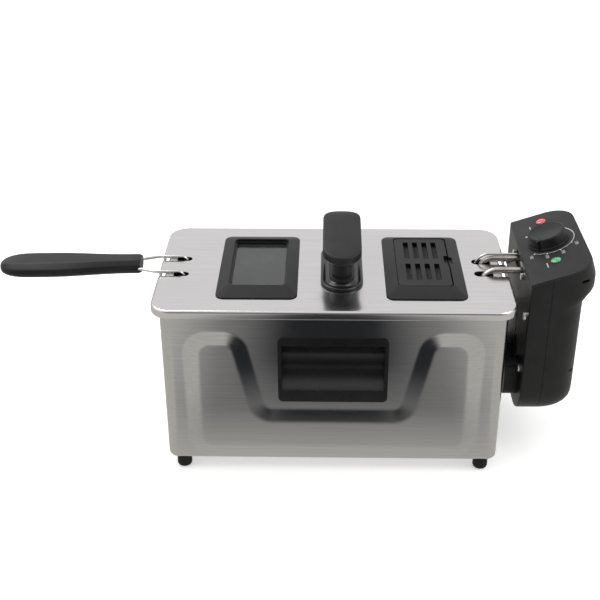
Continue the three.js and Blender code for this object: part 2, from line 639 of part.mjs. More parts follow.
function headOuterShell(form, hollow) {
  const seamX = faceX + SEAM + FIT;
  const behindSeam = box([0, seamX], [-100, 100], [0, 300]);
  let shell = cut(form, hollow);
  for (const [y, z] of bossSpots) {
    const boss = rod([seamX, y, z], [faceX + HEAD.depth - 1, y, z], BOSS.radius, 12);
    shell = join(shell, boss.intersect(form));
  }
  shell = cut(shell, behindSeam, abovePanel(-PANEL.thickness - FIT));
  for (const [y, z] of bossSpots) {
    shell = cut(shell, rod([seamX - 1, y, z], [seamX + BOSS.screwLength + 2, y, z], SCREW.shank + FIT, 10));
  }
  const wall = faceX + HEAD.depth;
  shell = cut(shell, rod([wall - 10, GLAND.y, glandZ], [wall + 5, GLAND.y, glandZ], GLAND.radius - 2));
  place("head_outer_shell", shell, blackPlastic());
}

function controlPanel(form) {
  let panel = form.intersect(abovePanel(-PANEL.thickness));
  panel = cut(panel, onPanel(rod([0, 0, -20], [0, 0, 20], KNOB.shaft + RUN)));
  for (const side of [-1, 1]) {
    const y = side * PANEL.lampGap;
    panel = cut(panel, onPanel(rod([0, y, -20], [0, y, 20], LAMP.radius - 0.6)));
  }
  place("control_panel", panel, greyPlastic());
}

function lamps() {
  const lenses = [["red_power_lamp", 1, redGlow()], ["green_ready_lamp", -1, greenGlow()]];
  for (const [name, side, glow] of lenses) {
    const { radius, rise } = LAMP;
    const stem = radius - 0.6 - FIT;
    const under = -PANEL.thickness - 6;
    const dome = [[radius, FIT], [radius - 0.3, 0.8], [radius * 0.6, rise], [0, rise + 0.3]];
    const profile = [[0, under], [stem, under], [stem, FIT], ...dome];
    place(name, onPanel(turned(profile, [0, side * PANEL.lampGap, 0], 16)), glow);
  }
}

function knobAndThermostat() {
  const deep = -PANEL.thickness - 11;
  const profile = [
    [0, FIT], [KNOB.foot, FIT], [KNOB.foot, 1.6], [KNOB.foot - 0.7, 2], [KNOB.top, KNOB.height - 1.2],
    [KNOB.top - 1.2, KNOB.height], [0, KNOB.height],
  ];
  const towards = THREE.MathUtils.degToRad(KNOB.pointer);
  const ridge = new THREE.BoxGeometry(4, 2.2, KNOB.height - 3).translate(KNOB.top + 0.6, 0, KNOB.height / 2);
  const pointer = solid(ridge.rotateZ(towards));
  const bore = rod([0, 0, -1], [0, 0, KNOB.height - 4], KNOB.shaft + FIT);
  place("control_knob", onPanel(cut(join(turned(profile, [0, 0, 0], 30), pointer), bore)), blackPlastic());
  const shaft = rod([0, 0, deep], [0, 0, KNOB.height - 4.6], KNOB.shaft, 12);
  place("thermostat_shaft", onPanel(shaft), polishedSteel());
  const body = box([-14, 14], [-16, 16], [deep - 15, deep - FIT]);
  place("thermostat_body", onPanel(body), whiteCeramic());
}

function headInternals() {
  const face = faceX;
  const plateX = face + MOULD + FIT;
  const half = PLATE_SCREW.y + 6;
  let plate = box([plateX, plateX + 1.8], [-half, half], [tubeZ - 11, tubeZ + 6.2]);
  for (const side of [-1, 1]) {
    const y = side * TUBE.spread;
    plate = cut(plate, rod([plateX - 1, y, tubeZ], [plateX + 4, y, tubeZ], TUBE.radius + FIT, 12));
    const screwAt = (x) => [x, side * PLATE_SCREW.y, tubeZ];
    plate = cut(plate, rod(screwAt(plateX - 1), screwAt(plateX + 4), PLATE_SCREW.shank + FIT, 10));
    const head = rod(screwAt(face - FIT - PLATE_SCREW.headHeight), screwAt(face - FIT), PLATE_SCREW.head, 10);
    const shank = rod(screwAt(face - FIT - 1), screwAt(face + 8), PLATE_SCREW.shank, 10);
    place("plate_screw_" + (side < 0 ? "front" : "rear"), join(head, shank), polishedSteel());
  }
  const notch = box(
    [plateX - 1, plateX + 4],
    [TUBE.spread - CAPILLARY - RUN, TUBE.spread + CAPILLARY + RUN],
    [tubeZ, tubeZ + 10],
  );
  place("element_plate", cut(plate, notch), brushedSteel());

  const cutoutX = face + MOULD + RESET.travel + CUTOUT.room;
  const around = (middle) => [middle - CUTOUT.half, middle + CUTOUT.half];
  const cutout = box([cutoutX, face + SEAM], around(RESET.y), around(resetZ));
  place("safety_cutout", cutout, blackPlastic());
  const buttonEnd = cutoutX - RESET.travel - FIT;
  const button = rod([face - RESET.stand, RESET.y, resetZ], [buttonEnd, RESET.y, resetZ], RESET.radius, 14);
  place("reset_button", button, redGlow());

  const tip = railTop + FIT;
  const plunger = rod([plungerX, 0, tip], [plungerX, 0, tip + PLUNGER.length], PLUNGER.radius, 12);
  place("interlock_plunger", plunger, redGlow());
  const above = tip + PLUNGER.length + FIT;
  const wide = [-SWITCH.half, SWITCH.half];
  const snap = box([face + MOULD + FIT, face + SWITCH.depth], wide, [above, above + SWITCH.height]);
  place("interlock_switch", snap, blackPlastic());

  const blockX = face + TERMINALS.inFace;
  const blockZ = FOOT.height + TERMINALS.above;
  const terminals = box(
    [blockX, blockX + TERMINALS.depth],
    [-TERMINALS.half, TERMINALS.half],
    [blockZ, blockZ + TERMINALS.height],
  );
  place("terminal_block", terminals, whiteCeramic());

  bossSpots.forEach(([y, z], i) => {
    const head = rod([face - FIT - SCREW.headHeight, y, z], [face - FIT, y, z], SCREW.head, 10);
    const shank = rod([face - FIT - 1, y, z], [face + SEAM + BOSS.screwLength, y, z], SCREW.shank, 10);
    place("head_screw_" + (i + 1), join(head, shank), polishedSteel());
  });

  const wall = face + HEAD.depth;
  const spigot = GLAND.radius - 2 - FIT;
  const at = (x) => [x, GLAND.y, glandZ];
  const gland = join(
    rod(at(wall - MOULD - 2), at(wall + 1), spigot),
    rod(at(wall + FIT), at(wall + FIT + 2), GLAND.radius),
    rod(at(wall + FIT), at(wall + GLAND.stand), GLAND.radius - 2.5),
  );
  place("cord_gland", cut(gland, rod(at(wall - 20), at(wall + 20), GLAND.bore)), rubber());
}

// ---- Frying basket --------------------------------------------------------------------------------------

function basket() {
  const middle = (basketLeft + basketRight) / 2;
  const halfX = (basketRight - basketLeft) / 2;
  const halfY = basketHalfY;
  const at = (inset, z, wall = 0) =>
    level(halfX - inset - wall, halfY - inset - wall, MESH.corner - inset - wall, z, middle);
  const { taper, wall } = MESH;
  const [bottom, top] = [basketBottom, basketTop];
  place("basket_mesh", loft([
    at(taper + 6, bottom),
    at(taper + 1.5, bottom + 2),
    at(taper, bottom + 6),
    at(0, top),
    at(0, top, wall),
    at(taper, bottom + 6, wall),
    at(taper + 1.5, bottom + 2 + wall, wall),
    at(taper + 6, bottom + wall, wall),
  ]), polishedSteel());
  const low = top - BASKET_RIM.height - 1;
  const ring = (grow, z) => level(halfX + grow, halfY + grow, MESH.corner + grow, z, middle);
  const inside = FIT;
  const outside = inside + BASKET_RIM.width;
  const high = low + BASKET_RIM.height;
  const rim = loft([
    ring(inside + 1, low), ring(outside - 1, low), ring(outside, low + 1), ring(outside, high - 1),
    ring(outside - 1, high), ring(inside + 1, high), ring(inside, high - 1), ring(inside, low + 1),
  ], true);
  place("basket_rim", rim, polishedSteel());
  basketSocket(basketLeft - outside - FIT, low);
}

// The bracket on the basket's end: two upright sleeves for the handle's wires, and a hook for draining.
function basketSocket(endX, rimZ) {
  const low = wireFoot - 8;
  const high = basketTop - 1;
  const plate = box([endX - SHEET, endX], [-WIRE.spread - 5, WIRE.spread + 5], [low, high]);
  let socket = plate;
  const sleeve = WIRE.radius + RUN + 1.4;
  for (const side of [-1, 1]) {
    const y = side * WIRE.spread;
    const web = box([wireX, endX], [y - 1, y + 1], [low, high]);
    socket = join(socket, web, rod([wireX, y, low], [wireX, y, high], sleeve, 14));
  }
  for (const side of [-1, 1]) {
    const y = side * WIRE.spread;
    socket = cut(socket, rod([wireX, y, wireFoot - FIT], [wireX, y, high + 1], WIRE.radius + RUN, 12));
  }
  place("handle_socket", socket, polishedSteel());
  const hookZ = basketBottom + (rimZ - basketBottom) * 0.5;
  const x = endX + BASKET_RIM.width * 0.5;
  const route = [[x - 1, -8, low - 4], [x - 1, -8, hookZ], [x - 9, -8, hookZ - 10], [x - 9, 8, hookZ - 10],
    [x - 1, 8, hookZ], [x - 1, 8, low - 4]];
  place("drain_hook", bentRod(new BentPath(route, 3, 3), 1.2, 6), polishedSteel());
}

// ---- Basket handle --------------------------------------------------------------------------------------

const gripStart = -lidX - GRIP.gapToLid;

function handlePath() {
  const half = [
    [wireX, WIRE.spread, wireFoot],
    [wireX, WIRE.spread, wireZ],
    [-lidX - 3, WIRE.spread, wireZ],
    [gripStart - 3, WIRE.pinch, wireZ],
    [gripStart - 34, WIRE.pinch * 0.7, wireZ - 0.6],
  ];
  const route = [...half, ...half.map(([x, y, z]) => [x, -y, z]).reverse()];
  return new BentPath(route, [6, 12, 12, 6, 6, 12, 12, 6], 3);
}

// The grip's cross-section at a place along it: a flat-topped, round-bellied outline.
function gripLevel(along) {
  const x = gripStart - along * GRIP.length;
  const z = wireZ - along * GRIP.droop;
  const fullness = Math.sqrt(Math.max(0, 1 - Math.max(0, (along - 0.78) / 0.24) ** 2.6));
  const waist = 0.64 + 0.36 * THREE.MathUtils.smoothstep(along, 0.12, 0.62);
  const halfY = (GRIP.width / 2) * waist * fullness + 0.5;
  const halfZ = (GRIP.height / 2) * (0.8 + 0.2 * waist) * (0.35 + 0.65 * fullness);
  const sides = 14;
  return Array.from({ length: sides }, (_, i) => {
    const angle = ((i + 0.5) / sides) * 2 * Math.PI;
    const [c, s] = [Math.cos(angle), Math.sin(angle)];
    const squared = (v) => Math.sign(v) * Math.abs(v) ** 0.8;
    return new THREE.Vector3(x, -squared(c) * halfY, z + squared(s) * halfZ);
  });
}

function basketHandle() {
  const path = handlePath();
  place("handle_wire", bentRod(path, WIRE.radius), polishedSteel());
  const stations = [0, 0.06, 0.2, 0.34, 0.48, 0.62, 0.76, 0.85, 0.92, 0.97, 1];
  let whole = loft(stations.map(gripLevel));
  whole = cut(whole, bentRod(path, WIRE.radius + FIT));
  const screwX = gripStart - GRIP.length * 0.55;
  const mid = wireZ - 0.55 * GRIP.droop;
  const well = rod([screwX, 0, mid - GRIP.height], [screwX, 0, mid - 3], SCREW.head + FIT, 12);
  const bore = rod([screwX, 0, mid - 4], [screwX, 0, mid + 4.5], SCREW.shank + FIT, 10);
  whole = cut(whole, well, bore);
  const tilt = Math.atan(GRIP.droop / GRIP.length);
  const split = (from, to) => solid(new THREE.BoxGeometry(400, 100, to - from)
    .translate(0, 0, (from + to) / 2)
    .rotateY(-tilt)
    .translate(gripStart, 0, wireZ));
  place("grip_upper", whole.intersect(split(FIT / 2, 60)), blackPlastic());
  place("grip_lower", whole.intersect(split(-60, -FIT / 2)), blackPlastic());
  const seat = mid - 3 - FIT;
  const head = rod([screwX, 0, seat - SCREW.headHeight], [screwX, 0, seat], SCREW.head, 12);
  const shank = rod([screwX, 0, seat - 1], [screwX, 0, mid + 4], SCREW.shank, 10);
  place("grip_screw", join(head, shank), polishedSteel());
}

// ---- Lid ------------------------------------------------------------------------------------------------

// What the window and the vent leave open, as half sizes and a centre.
function opening(piece, left, back, front) {
  const halfX = piece.width / 2 - left;
  const [low, high] = [-piece.length / 2 + front, piece.length / 2 - back];
  return { x: piece.x, y: (low + high) / 2, halfX, halfY: (high - low) / 2 };
}

const windowHole = opening(WINDOW, WINDOW.sill, WINDOW.backSill, WINDOW.frontSill);
const ventHole = opening(VENT, VENT.side, VENT.backSide, VENT.frontSide);
const collarWall = FRAME.ledge + 1.7;
const holeOutline = (hole, grow, corner) =>
  roundRect(hole.halfX + grow, hole.halfY + grow, corner, hole.x, hole.y);

// A slot that runs in from the lid's short end, with a rounded inner end.
function lidSlot(side, y, start, width) {
  const far = lidX + 20;
  const outline = roundRect((far - start) / 2, width / 2, width / 2, (side * (start + far)) / 2, y);
  return prism(outline, lidUnder - LID.skirt - 5, lidTop + 5);
}

function lidPanel() {
  const [x, y] = [lidX, lidY];
  const edge = lidTop - LID.skirt;
  const ring = (inset, z) => level(x - inset, y - inset, LID.corner - inset, z, 0, 0, 3);
  let panel = loft([
    ring(LID.sheet + 1.5, lidUnder),
    ring(LID.sheet, lidUnder - 1.5),
    ring(LID.sheet, edge),
    ring(0, edge),
    ring(0, lidTop - 2.4),
    ring(0.8, lidTop - 0.8),
    ring(2.4, lidTop),
  ]);
  for (const hole of [windowHole, ventHole]) {
    panel = cut(panel, prism(holeOutline(hole, collarWall + FIT, 6), lidUnder - 5, lidTop + 5));
  }
  for (const side of [-1, 1]) {
    const [wireWidth, tubeWidth] = [2 * WIRE.radius + SLOT.wireRoom, 2 * TUBE.radius + SLOT.tubeRoom];
    panel = cut(panel, lidSlot(-1, side * WIRE.spread, -wireX - SLOT.pastWire, wireWidth));
    panel = cut(panel, lidSlot(1, side * TUBE.spread, riserX - SLOT.pastTube, tubeWidth));
  }
  const screwY = (STEM.front + STEM.back) / 2;
  const at = LID_HANDLE.x;
  panel = cut(panel, rod([at, screwY, lidUnder - 5], [at, screwY, lidTop + 5], SCREW.shank + FIT, 12));
  place("lid_panel", panel, brushedSteel());
}

// A flat frame on the lid with a collar that drops through the lid's hole.
function lidFrame(piece, hole, collarDepth) {
  const top = lidTop + FIT + FRAME.rise;
  const flange = loft([0, 0, 1.2].map((inset, i) => {
    const z = [lidTop + FIT, top - 1.2, top][i];
    return level(piece.width / 2 - inset, piece.length / 2 - inset, FRAME.corner - inset, z, piece.x);
  }));
  const collar = prism(holeOutline(hole, collarWall, 6), lidTop - collarDepth, lidTop + FIT + 1);
  return cut(join(flange, collar), prism(holeOutline(hole, 0, 4), lidTop - collarDepth - 1, top + 1));
}

function lidWindow() {
  const glassTop = lidTop - 1.6;
  const pocket = prism(holeOutline(windowHole, FRAME.ledge + FIT, 5), 0, glassTop + FIT);
  const frame = cut(lidFrame(WINDOW, windowHole, FRAME.collar), pocket);
  place("window_frame", frame, blackPlastic());
  const pane = holeOutline(windowHole, FRAME.ledge, 5);
  place("window_glass", prism(pane, glassTop - WINDOW.glass, glassTop), tintedGlass());
  const low = lidTop - FRAME.collar;
  const high = glassTop - WINDOW.glass - FIT;
  const gasket = cut(prism(pane, low, high), prism(holeOutline(windowHole, 0, 4), low - 1, high + 1));
  place("window_gasket", gasket, rubber());
}

function lidVent() {
  const depth = FILTER.thickness + FILTER.floor + 2.4;
  const frame = lidFrame(VENT, ventHole, depth);
  const axisX = ventHole.x - ventHole.halfX + PIVOT.radius + RUN;
  const axisZ = frameTop - 2.3;
  const [front, back] = [ventHole.y - ventHole.halfY, ventHole.y + ventHole.halfY];
  const socket = rod(
    [axisX, front - PIVOT.stub - FIT, axisZ],
    [axisX, back + PIVOT.stub + FIT, axisZ],
    PIVOT.radius + 0.4,
    12,
  );
  place("vent_frame", cut(frame, socket), blackPlastic());
  place("vent_cover", ventCover(axisX, axisZ, front + RUN, back - RUN), greyPlastic());

  const low = lidTop - depth;
  const inner = holeOutline(ventHole, -FIT, 4);
  let tray = prism(inner, low, low + FILTER.floor);
  forEachVentSlot((x, row) => {
    tray = cut(tray, ventSlot(x, row, low - 1, low + FILTER.floor + 1));
  });
  place("filter_tray", tray, blackPlastic());
  const bed = low + FILTER.floor + FIT;
  place("filter_pad", prism(inner, bed, bed + FILTER.thickness), felt());
}

function forEachVentSlot(visit) {
  for (let i = 0; i < VENT_COLUMNS.count; i++) {
    const x = VENT.x + VENT_COLUMNS.shift + (i - (VENT_COLUMNS.count - 1) / 2) * VENT_COLUMNS.pitch;
    for (const row of VENT_ROWS) visit(x, row);
  }
}

function ventSlot(x, row, low, high) {
  const half = (row.to - row.from) / 2;
  const outline = roundRect(VENT.slotWidth / 2, half, VENT.slotWidth / 2, x, (row.from + row.to) / 2);
  return prism(outline, low, high);
}

// The slotted cover that swings up about its left edge.
function ventCover(axisX, axisZ, front, back) {
  const right = ventHole.x + ventHole.halfX - RUN;
  const halfX = (right - axisX) / 2;
  const top = frameTop - 0.4;
  const low = axisZ - PIVOT.radius;
  const outline = roundRect(halfX, (back - front) / 2, 3, axisX + halfX, (front + back) / 2);
  const bead = rod([axisX, front - PIVOT.stub, axisZ], [axisX, back + PIVOT.stub, axisZ], PIVOT.radius, 12);
  let cover = join(prism(outline, low, top), bead);
  const corner = box([axisX - 5, axisX + 0.01], [front - 5, back + 5], [axisZ + PIVOT.radius, top + 5]);
  cover = cut(cover, corner);
  forEachVentSlot((x, row) => {
    cover = cut(cover, ventSlot(x, row, low - 1, top + 1));
  });
  return cut(cover, box([right - 6, right + 1], [-3, 20], [top - 1.6, top + 1]));
}

function lidHandle() {
  const { x, baseWidth, baseFront, baseBack, baseHeight, padWidth } = LID_HANDLE;
  const foot = lidTop + FIT;
  const middle = (baseFront + baseBack) / 2;
  const halfY = (baseBack - baseFront) / 2;
  const base = loft([[0, 0], [0, 1.6], [1.2, 3], [6, baseHeight]].map(([inset, rise]) => {
    const half = baseWidth / 2 - inset;
    return level(half, halfY - inset, half, foot + rise, x, middle, 3);
  }));
  const stemMiddle = (STEM.front + STEM.back) / 2;
  const stemHalf = (STEM.back - STEM.front) / 2;
  const hole = rod([x, stemMiddle, foot - 1], [x, stemMiddle, foot + 20], SCREW.shank + FIT, 12);
  place("lid_handle_base", cut(base, hole), blackPlastic());

  const stemFoot = foot + baseHeight + FIT;
  const stem = loft([[1.6, 0], [1.6, 2], [0, 3], [0, 30]].map(([inset, rise]) => {
    const half = STEM.width / 2 - inset;
    return level(half, stemHalf - inset, half, stemFoot + rise, x, stemMiddle, 3);
  }));
  const padMiddle = (PAD.back + PAD.front) / 2;
  const plan = roundRect(padWidth / 2, (PAD.back - PAD.front) / 2, padWidth / 2, x, padMiddle);
  const top = new THREE.Shape().moveTo(PAD.front, lidTop + PAD.frontTop - PAD.thickness);
  top.lineTo(PAD.front, lidTop + PAD.frontTop - 2);
  top.quadraticCurveTo(PAD.front + 2, lidTop + PAD.frontTop, PAD.front + 8, lidTop + PAD.frontTop + 1);
  top.quadraticCurveTo(0, lidTop + PAD.frontTop + 7, PAD.back - 14, lidTop + PAD.backTop);
  top.quadraticCurveTo(PAD.back, lidTop + PAD.backTop, PAD.back, lidTop + PAD.backTop - 6);
  top.lineTo(PAD.back, lidTop + PAD.backTop - PAD.thickness);
  const pad = prism(plan, 0, 300).intersect(prism(top, x - 50, x + 50, "x"));
  const limit = prism(plan, 0, lidTop + PAD.frontTop - 3);
  place("lid_handle", cut(join(pad, stem.intersect(limit)), hole), greyPlastic());

  const seat = lidUnder - FIT;
  const head = rod([x, stemMiddle, seat - SCREW.headHeight], [x, stemMiddle, seat], SCREW.head, 12);
  const shank = rod([x, stemMiddle, seat - 1], [x, stemMiddle, foot + 19], SCREW.shank, 10);
  place("lid_handle_screw", join(head, shank), polishedSteel());
}

// ---- Assembly -------------------------------------------------------------------------------------------

housing();
basePlate();
feet();
carryHandles();
guideRail();
oilPot();
heatingElement();
sensor();
elementSupports();
const headShape = headForm(0);
const headHollow = headForm(MOULD);
headInnerShell(headShape, headHollow);
headOuterShell(headShape, headHollow);
controlPanel(headShape);
lamps();
knobAndThermostat();
headInternals();
basket();
basketHandle();
lidPanel();
lidWindow();
lidVent();
lidHandle();

// The origin is the middle of the whole object's box, on the surface that it stands on.
const span = new THREE.Box3().setFromObject(fryer);
fryer.position.x = -(span.min.x + span.max.x) / 2;

export default fryer;
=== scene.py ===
"""Looks of a three-litre deep fryer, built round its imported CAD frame.

Shapes are worked out in millimetres, measured from the middle of the housing's footprint, and moved into
the frame (metres) when a piece is made.
"""
import json
import math

import bmesh
import bpy
import numpy as np
from mathutils import Matrix, Vector


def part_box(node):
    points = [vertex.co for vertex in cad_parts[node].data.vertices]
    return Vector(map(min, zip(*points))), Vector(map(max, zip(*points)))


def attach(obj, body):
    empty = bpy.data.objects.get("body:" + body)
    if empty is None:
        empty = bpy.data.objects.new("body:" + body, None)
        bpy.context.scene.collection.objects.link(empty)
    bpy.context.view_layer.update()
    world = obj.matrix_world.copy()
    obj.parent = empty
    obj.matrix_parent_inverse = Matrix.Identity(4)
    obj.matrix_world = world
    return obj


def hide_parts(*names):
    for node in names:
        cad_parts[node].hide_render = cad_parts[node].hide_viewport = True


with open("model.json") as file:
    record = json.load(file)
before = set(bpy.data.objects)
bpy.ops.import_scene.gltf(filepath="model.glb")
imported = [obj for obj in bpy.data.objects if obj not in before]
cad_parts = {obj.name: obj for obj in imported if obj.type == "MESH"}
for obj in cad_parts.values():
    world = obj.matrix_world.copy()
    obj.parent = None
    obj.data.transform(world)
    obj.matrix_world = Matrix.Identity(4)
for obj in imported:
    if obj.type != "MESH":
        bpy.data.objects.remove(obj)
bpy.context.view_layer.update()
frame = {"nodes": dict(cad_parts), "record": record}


# ---- The frame's own sizes, in millimetres from the housing's middle 

shell_low, shell_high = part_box("housing_shell")
MIDDLE_X = (shell_low.x + shell_high.x) / 2
TO_FRAME = Matrix.Translation((MIDDLE_X, 0, 0)) @ Matrix.Scale(0.001, 4)


class Box:
    """A CAD node's box in millimetres, measured from the housing's middle."""

    def __init__(self, node):
        low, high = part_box(node)
        self.x0, self.x1 = [(v - MIDDLE_X) * 1000 for v in (low.x, high.x)]
        self.y0, self.y1 = low.y * 1000, high.y * 1000
        self.z0, self.z1 = low.z * 1000, high.z * 1000
        self.x, self.y = (self.x0 + self.x1) / 2, (self.y0 + self.y1) / 2
        self.half_x, self.half_y = (self.x1 - self.x0) / 2, (self.y1 - self.y0) / 2


HOUSING = Box("housing_shell")
LID = Box("lid_panel")
POT = Box("oil_pot")
WINDOW = Box("window_frame")
GLASS = Box("window_glass")
VENT = Box("vent_frame")
COVER = Box("vent_cover")
HEAD = Box("head_outer_shell")
HEAD_INNER = Box("head_inner_shell")

SHEET = 1.2
HALF_WIDTH = 88.0
HOUSING_CORNER = 11.0
LID_SHEET = 1.1
FRAME_GAP = 0.3
LID_CORNER = 20.0
LID_TOP = LID.z1
FRAME_LOW = LID_TOP + FRAME_GAP
FRAME_TOP = WINDOW.z1
SLOPE = math.radians(18.8)
FACE_X = HEAD_INNER.x0 + 13.0
PANEL_EDGE_Z = 204.0
KNOB_Y = 7.0
KNOB_DEPTH = 27.5
KNOB_Z = PANEL_EDGE_Z + KNOB_DEPTH * math.tan(SLOPE)
PANEL_FRAME = Matrix.Translation((FACE_X + KNOB_DEPTH, KNOB_Y, KNOB_Z)) @ Matrix.Rotation(-SLOPE, 4, "Y")


# ---- Shapes --------------------------------------------------

def outline(half_x, half_y, radius, x=0.0, y=0.0, steps=8, long=1, short=1):
    """A rounded rectangle, anticlockwise from above; long and short divide its sides along X and Y."""
    r = max(0.05, min(radius, half_x - 0.02, half_y - 0.02))
    corners = [(1, -1, -90), (1, 1, 0), (-1, 1, 90), (-1, -1, 180)]
    points = []
    for k, (side_x, side_y, start) in enumerate(corners):
        middle = Vector((x + side_x * (half_x - r), y + side_y * (half_y - r)))
        for i in range(steps + 1):
            angle = math.radians(start + 90 * i / steps)
            points.append(middle + r * Vector((math.cos(angle), math.sin(angle))))
        across = short if k % 2 == 0 else long
        nx, ny, _ = corners[(k + 1) % 4]
        ahead = Vector((x + nx * (half_x - r), y + ny * (half_y - r)))
        turn = math.radians(start + 90)
        ahead += r * Vector((math.cos(turn), math.sin(turn)))
        last = points[-1]
        points += [last.lerp(ahead, i / across) for i in range(1, across)]
    return points


def level(points, z):
    return [Vector((p.x, p.y, z)) for p in points]


def loft(rings, closed=False):
    """A skin over rings of equal count: capped at both ends or, when closed, run back onto its first ring."""
    count = len(rings[0])
    vertices = [tuple(p) for ring in rings for p in ring]
    faces = []
    for k in range(len(rings) if closed else len(rings) - 1):
        low, high = k * count, (k + 1) % len(rings) * count
        faces += [(low + i, low + (i + 1) % count, high + (i + 1) % count, high + i) for i in range(count)]
    if not closed:
        end = (len(rings) - 1) * count
        faces += [tuple(reversed(range(count))), tuple(range(end, end + count))]
    return vertices, faces


def combine(shapes):
    vertices, faces = [], []
    for more, polygons in shapes:
        start = len(vertices)
        vertices += more
        faces += [tuple(start + i for i in polygon) for polygon in polygons]
    return vertices, faces


def turned(profile, x=0.0, y=0.0, sides=48):
    """A profile of (radius, height) turned about Z."""
    angles = [2 * math.pi * i / sides for i in range(sides)]
    return loft([
        [Vector((x + r * math.cos(a), y + r * math.sin(a), h)) for a in angles] for r, h in profile
    ])


def mirrored(half):
    """A route of corners carried on through its own mirror image across the XZ plane."""
    return half + [(x, -y, z) for x, y, z in reversed(half)]


def flat(points):
    """Plain pairs from an outline's points."""
    return [(p.x, p.y) for p in points]


def prism(points, low, high, axis="z"):
    """A flat outline pushed out along an axis; its two coordinates are the axes that are left, in order."""
    place = {
        "z": lambda p, h: Vector((p[0], p[1], h)),
        "y": lambda p, h: Vector((p[0], h, p[1])),
        "x": lambda p, h: Vector((h, p[0], p[1])),
    }[axis]
    return loft([[place(p, low) for p in points], [place(p, high) for p in points]])


def block(x, y, z):
    return prism([(x[0], y[0]), (x[1], y[0]), (x[1], y[1]), (x[0], y[1])], z[0], z[1])


def bent_path(corners, bends, steps=8):
    """Points along a route whose inner corners are rounded to the given radii."""
    corners = [Vector(c) for c in corners]
    radii = bends if isinstance(bends, list) else [bends] * (len(corners) - 2)
    points = [corners[0]]
    for before, corner, after, radius in zip(corners, corners[1:], corners[2:], radii):
        back, on = before - corner, after - corner
        half = back.angle(on) / 2
        reach = min(radius / math.tan(half), 0.48 * back.length, 0.48 * on.length)
        back.normalize()
        on.normalize()
        centre = corner + (back + on).normalized() * (reach * math.tan(half) / math.sin(half))
        a, b = corner + back * reach - centre, corner + on * reach - centre
        sweep = a.angle(b)
        for k in range(steps + 1):
            part = k / steps
            share_a = math.sin((1 - part) * sweep) / math.sin(sweep)
            share_b = math.sin(part * sweep) / math.sin(sweep)
            points.append(centre + a * share_a + b * share_b)
    return points + [corners[-1]]


def tube(points, radius, sides=16, closed=False):
    """A round bar along points, carried round its bends without twisting."""
    rings, normal, count = [], None, len(points)
    for i, point in enumerate(points):
        before = points[i - 1] if i or closed else point
        after = points[(i + 1) % count] if i < count - 1 or closed else point
        ahead = ((point - before).normalized() + (after - point).normalized()).normalized()
        normal = ahead.orthogonal() if normal is None else normal - ahead * normal.dot(ahead)
        normal.normalize()
        side = ahead.cross(normal)
        turns = [2 * math.pi * k / sides for k in range(sides)]
        rings.append([point + (normal * math.cos(a) + side * math.sin(a)) * radius for a in turns])
    return loft(rings, closed)


def rod(start, end, radius, sides=32):
    return tube([Vector(start), Vector(end)], radius, sides)


def mesh_of(shape):
    """The shape as a mesh, with doubled points joined and its faces pointing out."""
    mesh = bpy.data.meshes.new("shape")
    mesh.from_pydata(shape[0], [], shape[1])
    bm = bmesh.new()
    bm.from_mesh(mesh)
    bmesh.ops.remove_doubles(bm, verts=bm.verts, dist=1e-4)
    bmesh.ops.recalc_face_normals(bm, faces=bm.faces)
    bm.to_mesh(mesh)
    bm.free()
    return mesh


def add(name, data):
    """A new object in the scene."""
    made = bpy.data.objects.new(name, data)
    bpy.context.scene.collection.objects.link(made)
    return made


def settled(holder):
    """A mesh of what an object looks like with its modifiers applied."""
    graph = bpy.context.evaluated_depsgraph_get()
    return bpy.data.meshes.new_from_object(holder.evaluated_get(graph))


def boolean(mesh, shape, operation="DIFFERENCE"):
    """The mesh cut by, or joined with, another closed shape."""
    other = shape if isinstance(shape, bpy.types.Mesh) else mesh_of(shape)
    holders = [add("holder", data) for data in (mesh, other)]
    modifier = holders[0].modifiers.new("cut", "BOOLEAN")
    modifier.object = holders[1]
    modifier.operation = operation
    modifier.solver = "EXACT"
    result = settled(holders[0])
    for holder in holders:
        bpy.data.objects.remove(holder)
    return result


def keep_below(mesh, point, normal):
    """A copy of the closed mesh without what lies beyond a plane, closed again by a flat face."""
    bm = bmesh.new()
    bm.from_mesh(mesh)
    geometry = bm.verts[:] + bm.edges[:] + bm.faces[:]
    cut = bmesh.ops.bisect_plane(bm, geom=geometry, plane_co=point, plane_no=normal, clear_outer=True)
    edges = [e for e in cut["geom_cut"] if isinstance(e, bmesh.types.BMEdge)]
    bmesh.ops.holes_fill(bm, edges=edges)
    bmesh.ops.recalc_face_normals(bm, faces=bm.faces)
    result = bpy.data.meshes.new("part")
    bm.to_mesh(result)
    bm.free()
    return result


def piece(name, shape, body, finish, replaces=(), bevel=0.0, segments=3, sharp=35, place=TO_FRAME):
    """Makes a named object from a shape or mesh, puts it in the frame and lets it ride on a body."""
    mesh = shape if isinstance(shape, bpy.types.Mesh) else mesh_of(shape)
    mesh.transform(place)
    mesh.materials.clear()
    mesh.materials.append(M[finish])
    mesh.polygons.foreach_set("material_index", [0] * len(mesh.polygons))
    mesh.polygons.foreach_set("use_smooth", [True] * len(mesh.polygons))
    if not bevel:
        mesh.set_sharp_from_angle(angle=math.radians(sharp))
    made = add(name, mesh)
    mesh.name = name
    if bevel:
        soften(made, bevel, segments)
    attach(made, body)
    if replaces:
        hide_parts(*replaces)
    return made


def soften(made, width, segments=3):
    """Rounds an object's sharp edges by a width in millimetres."""
    rounding = made.modifiers.new("rounding", "BEVEL")
    rounding.width = width / 1000
    rounding.segments = segments
    rounding.limit_method = "ANGLE"
    rounding.angle_limit = math.radians(32)
    rounding.harden_normals = True
    rounding.use_clamp_overlap = True


# ---- Materials -----------------------------------------------

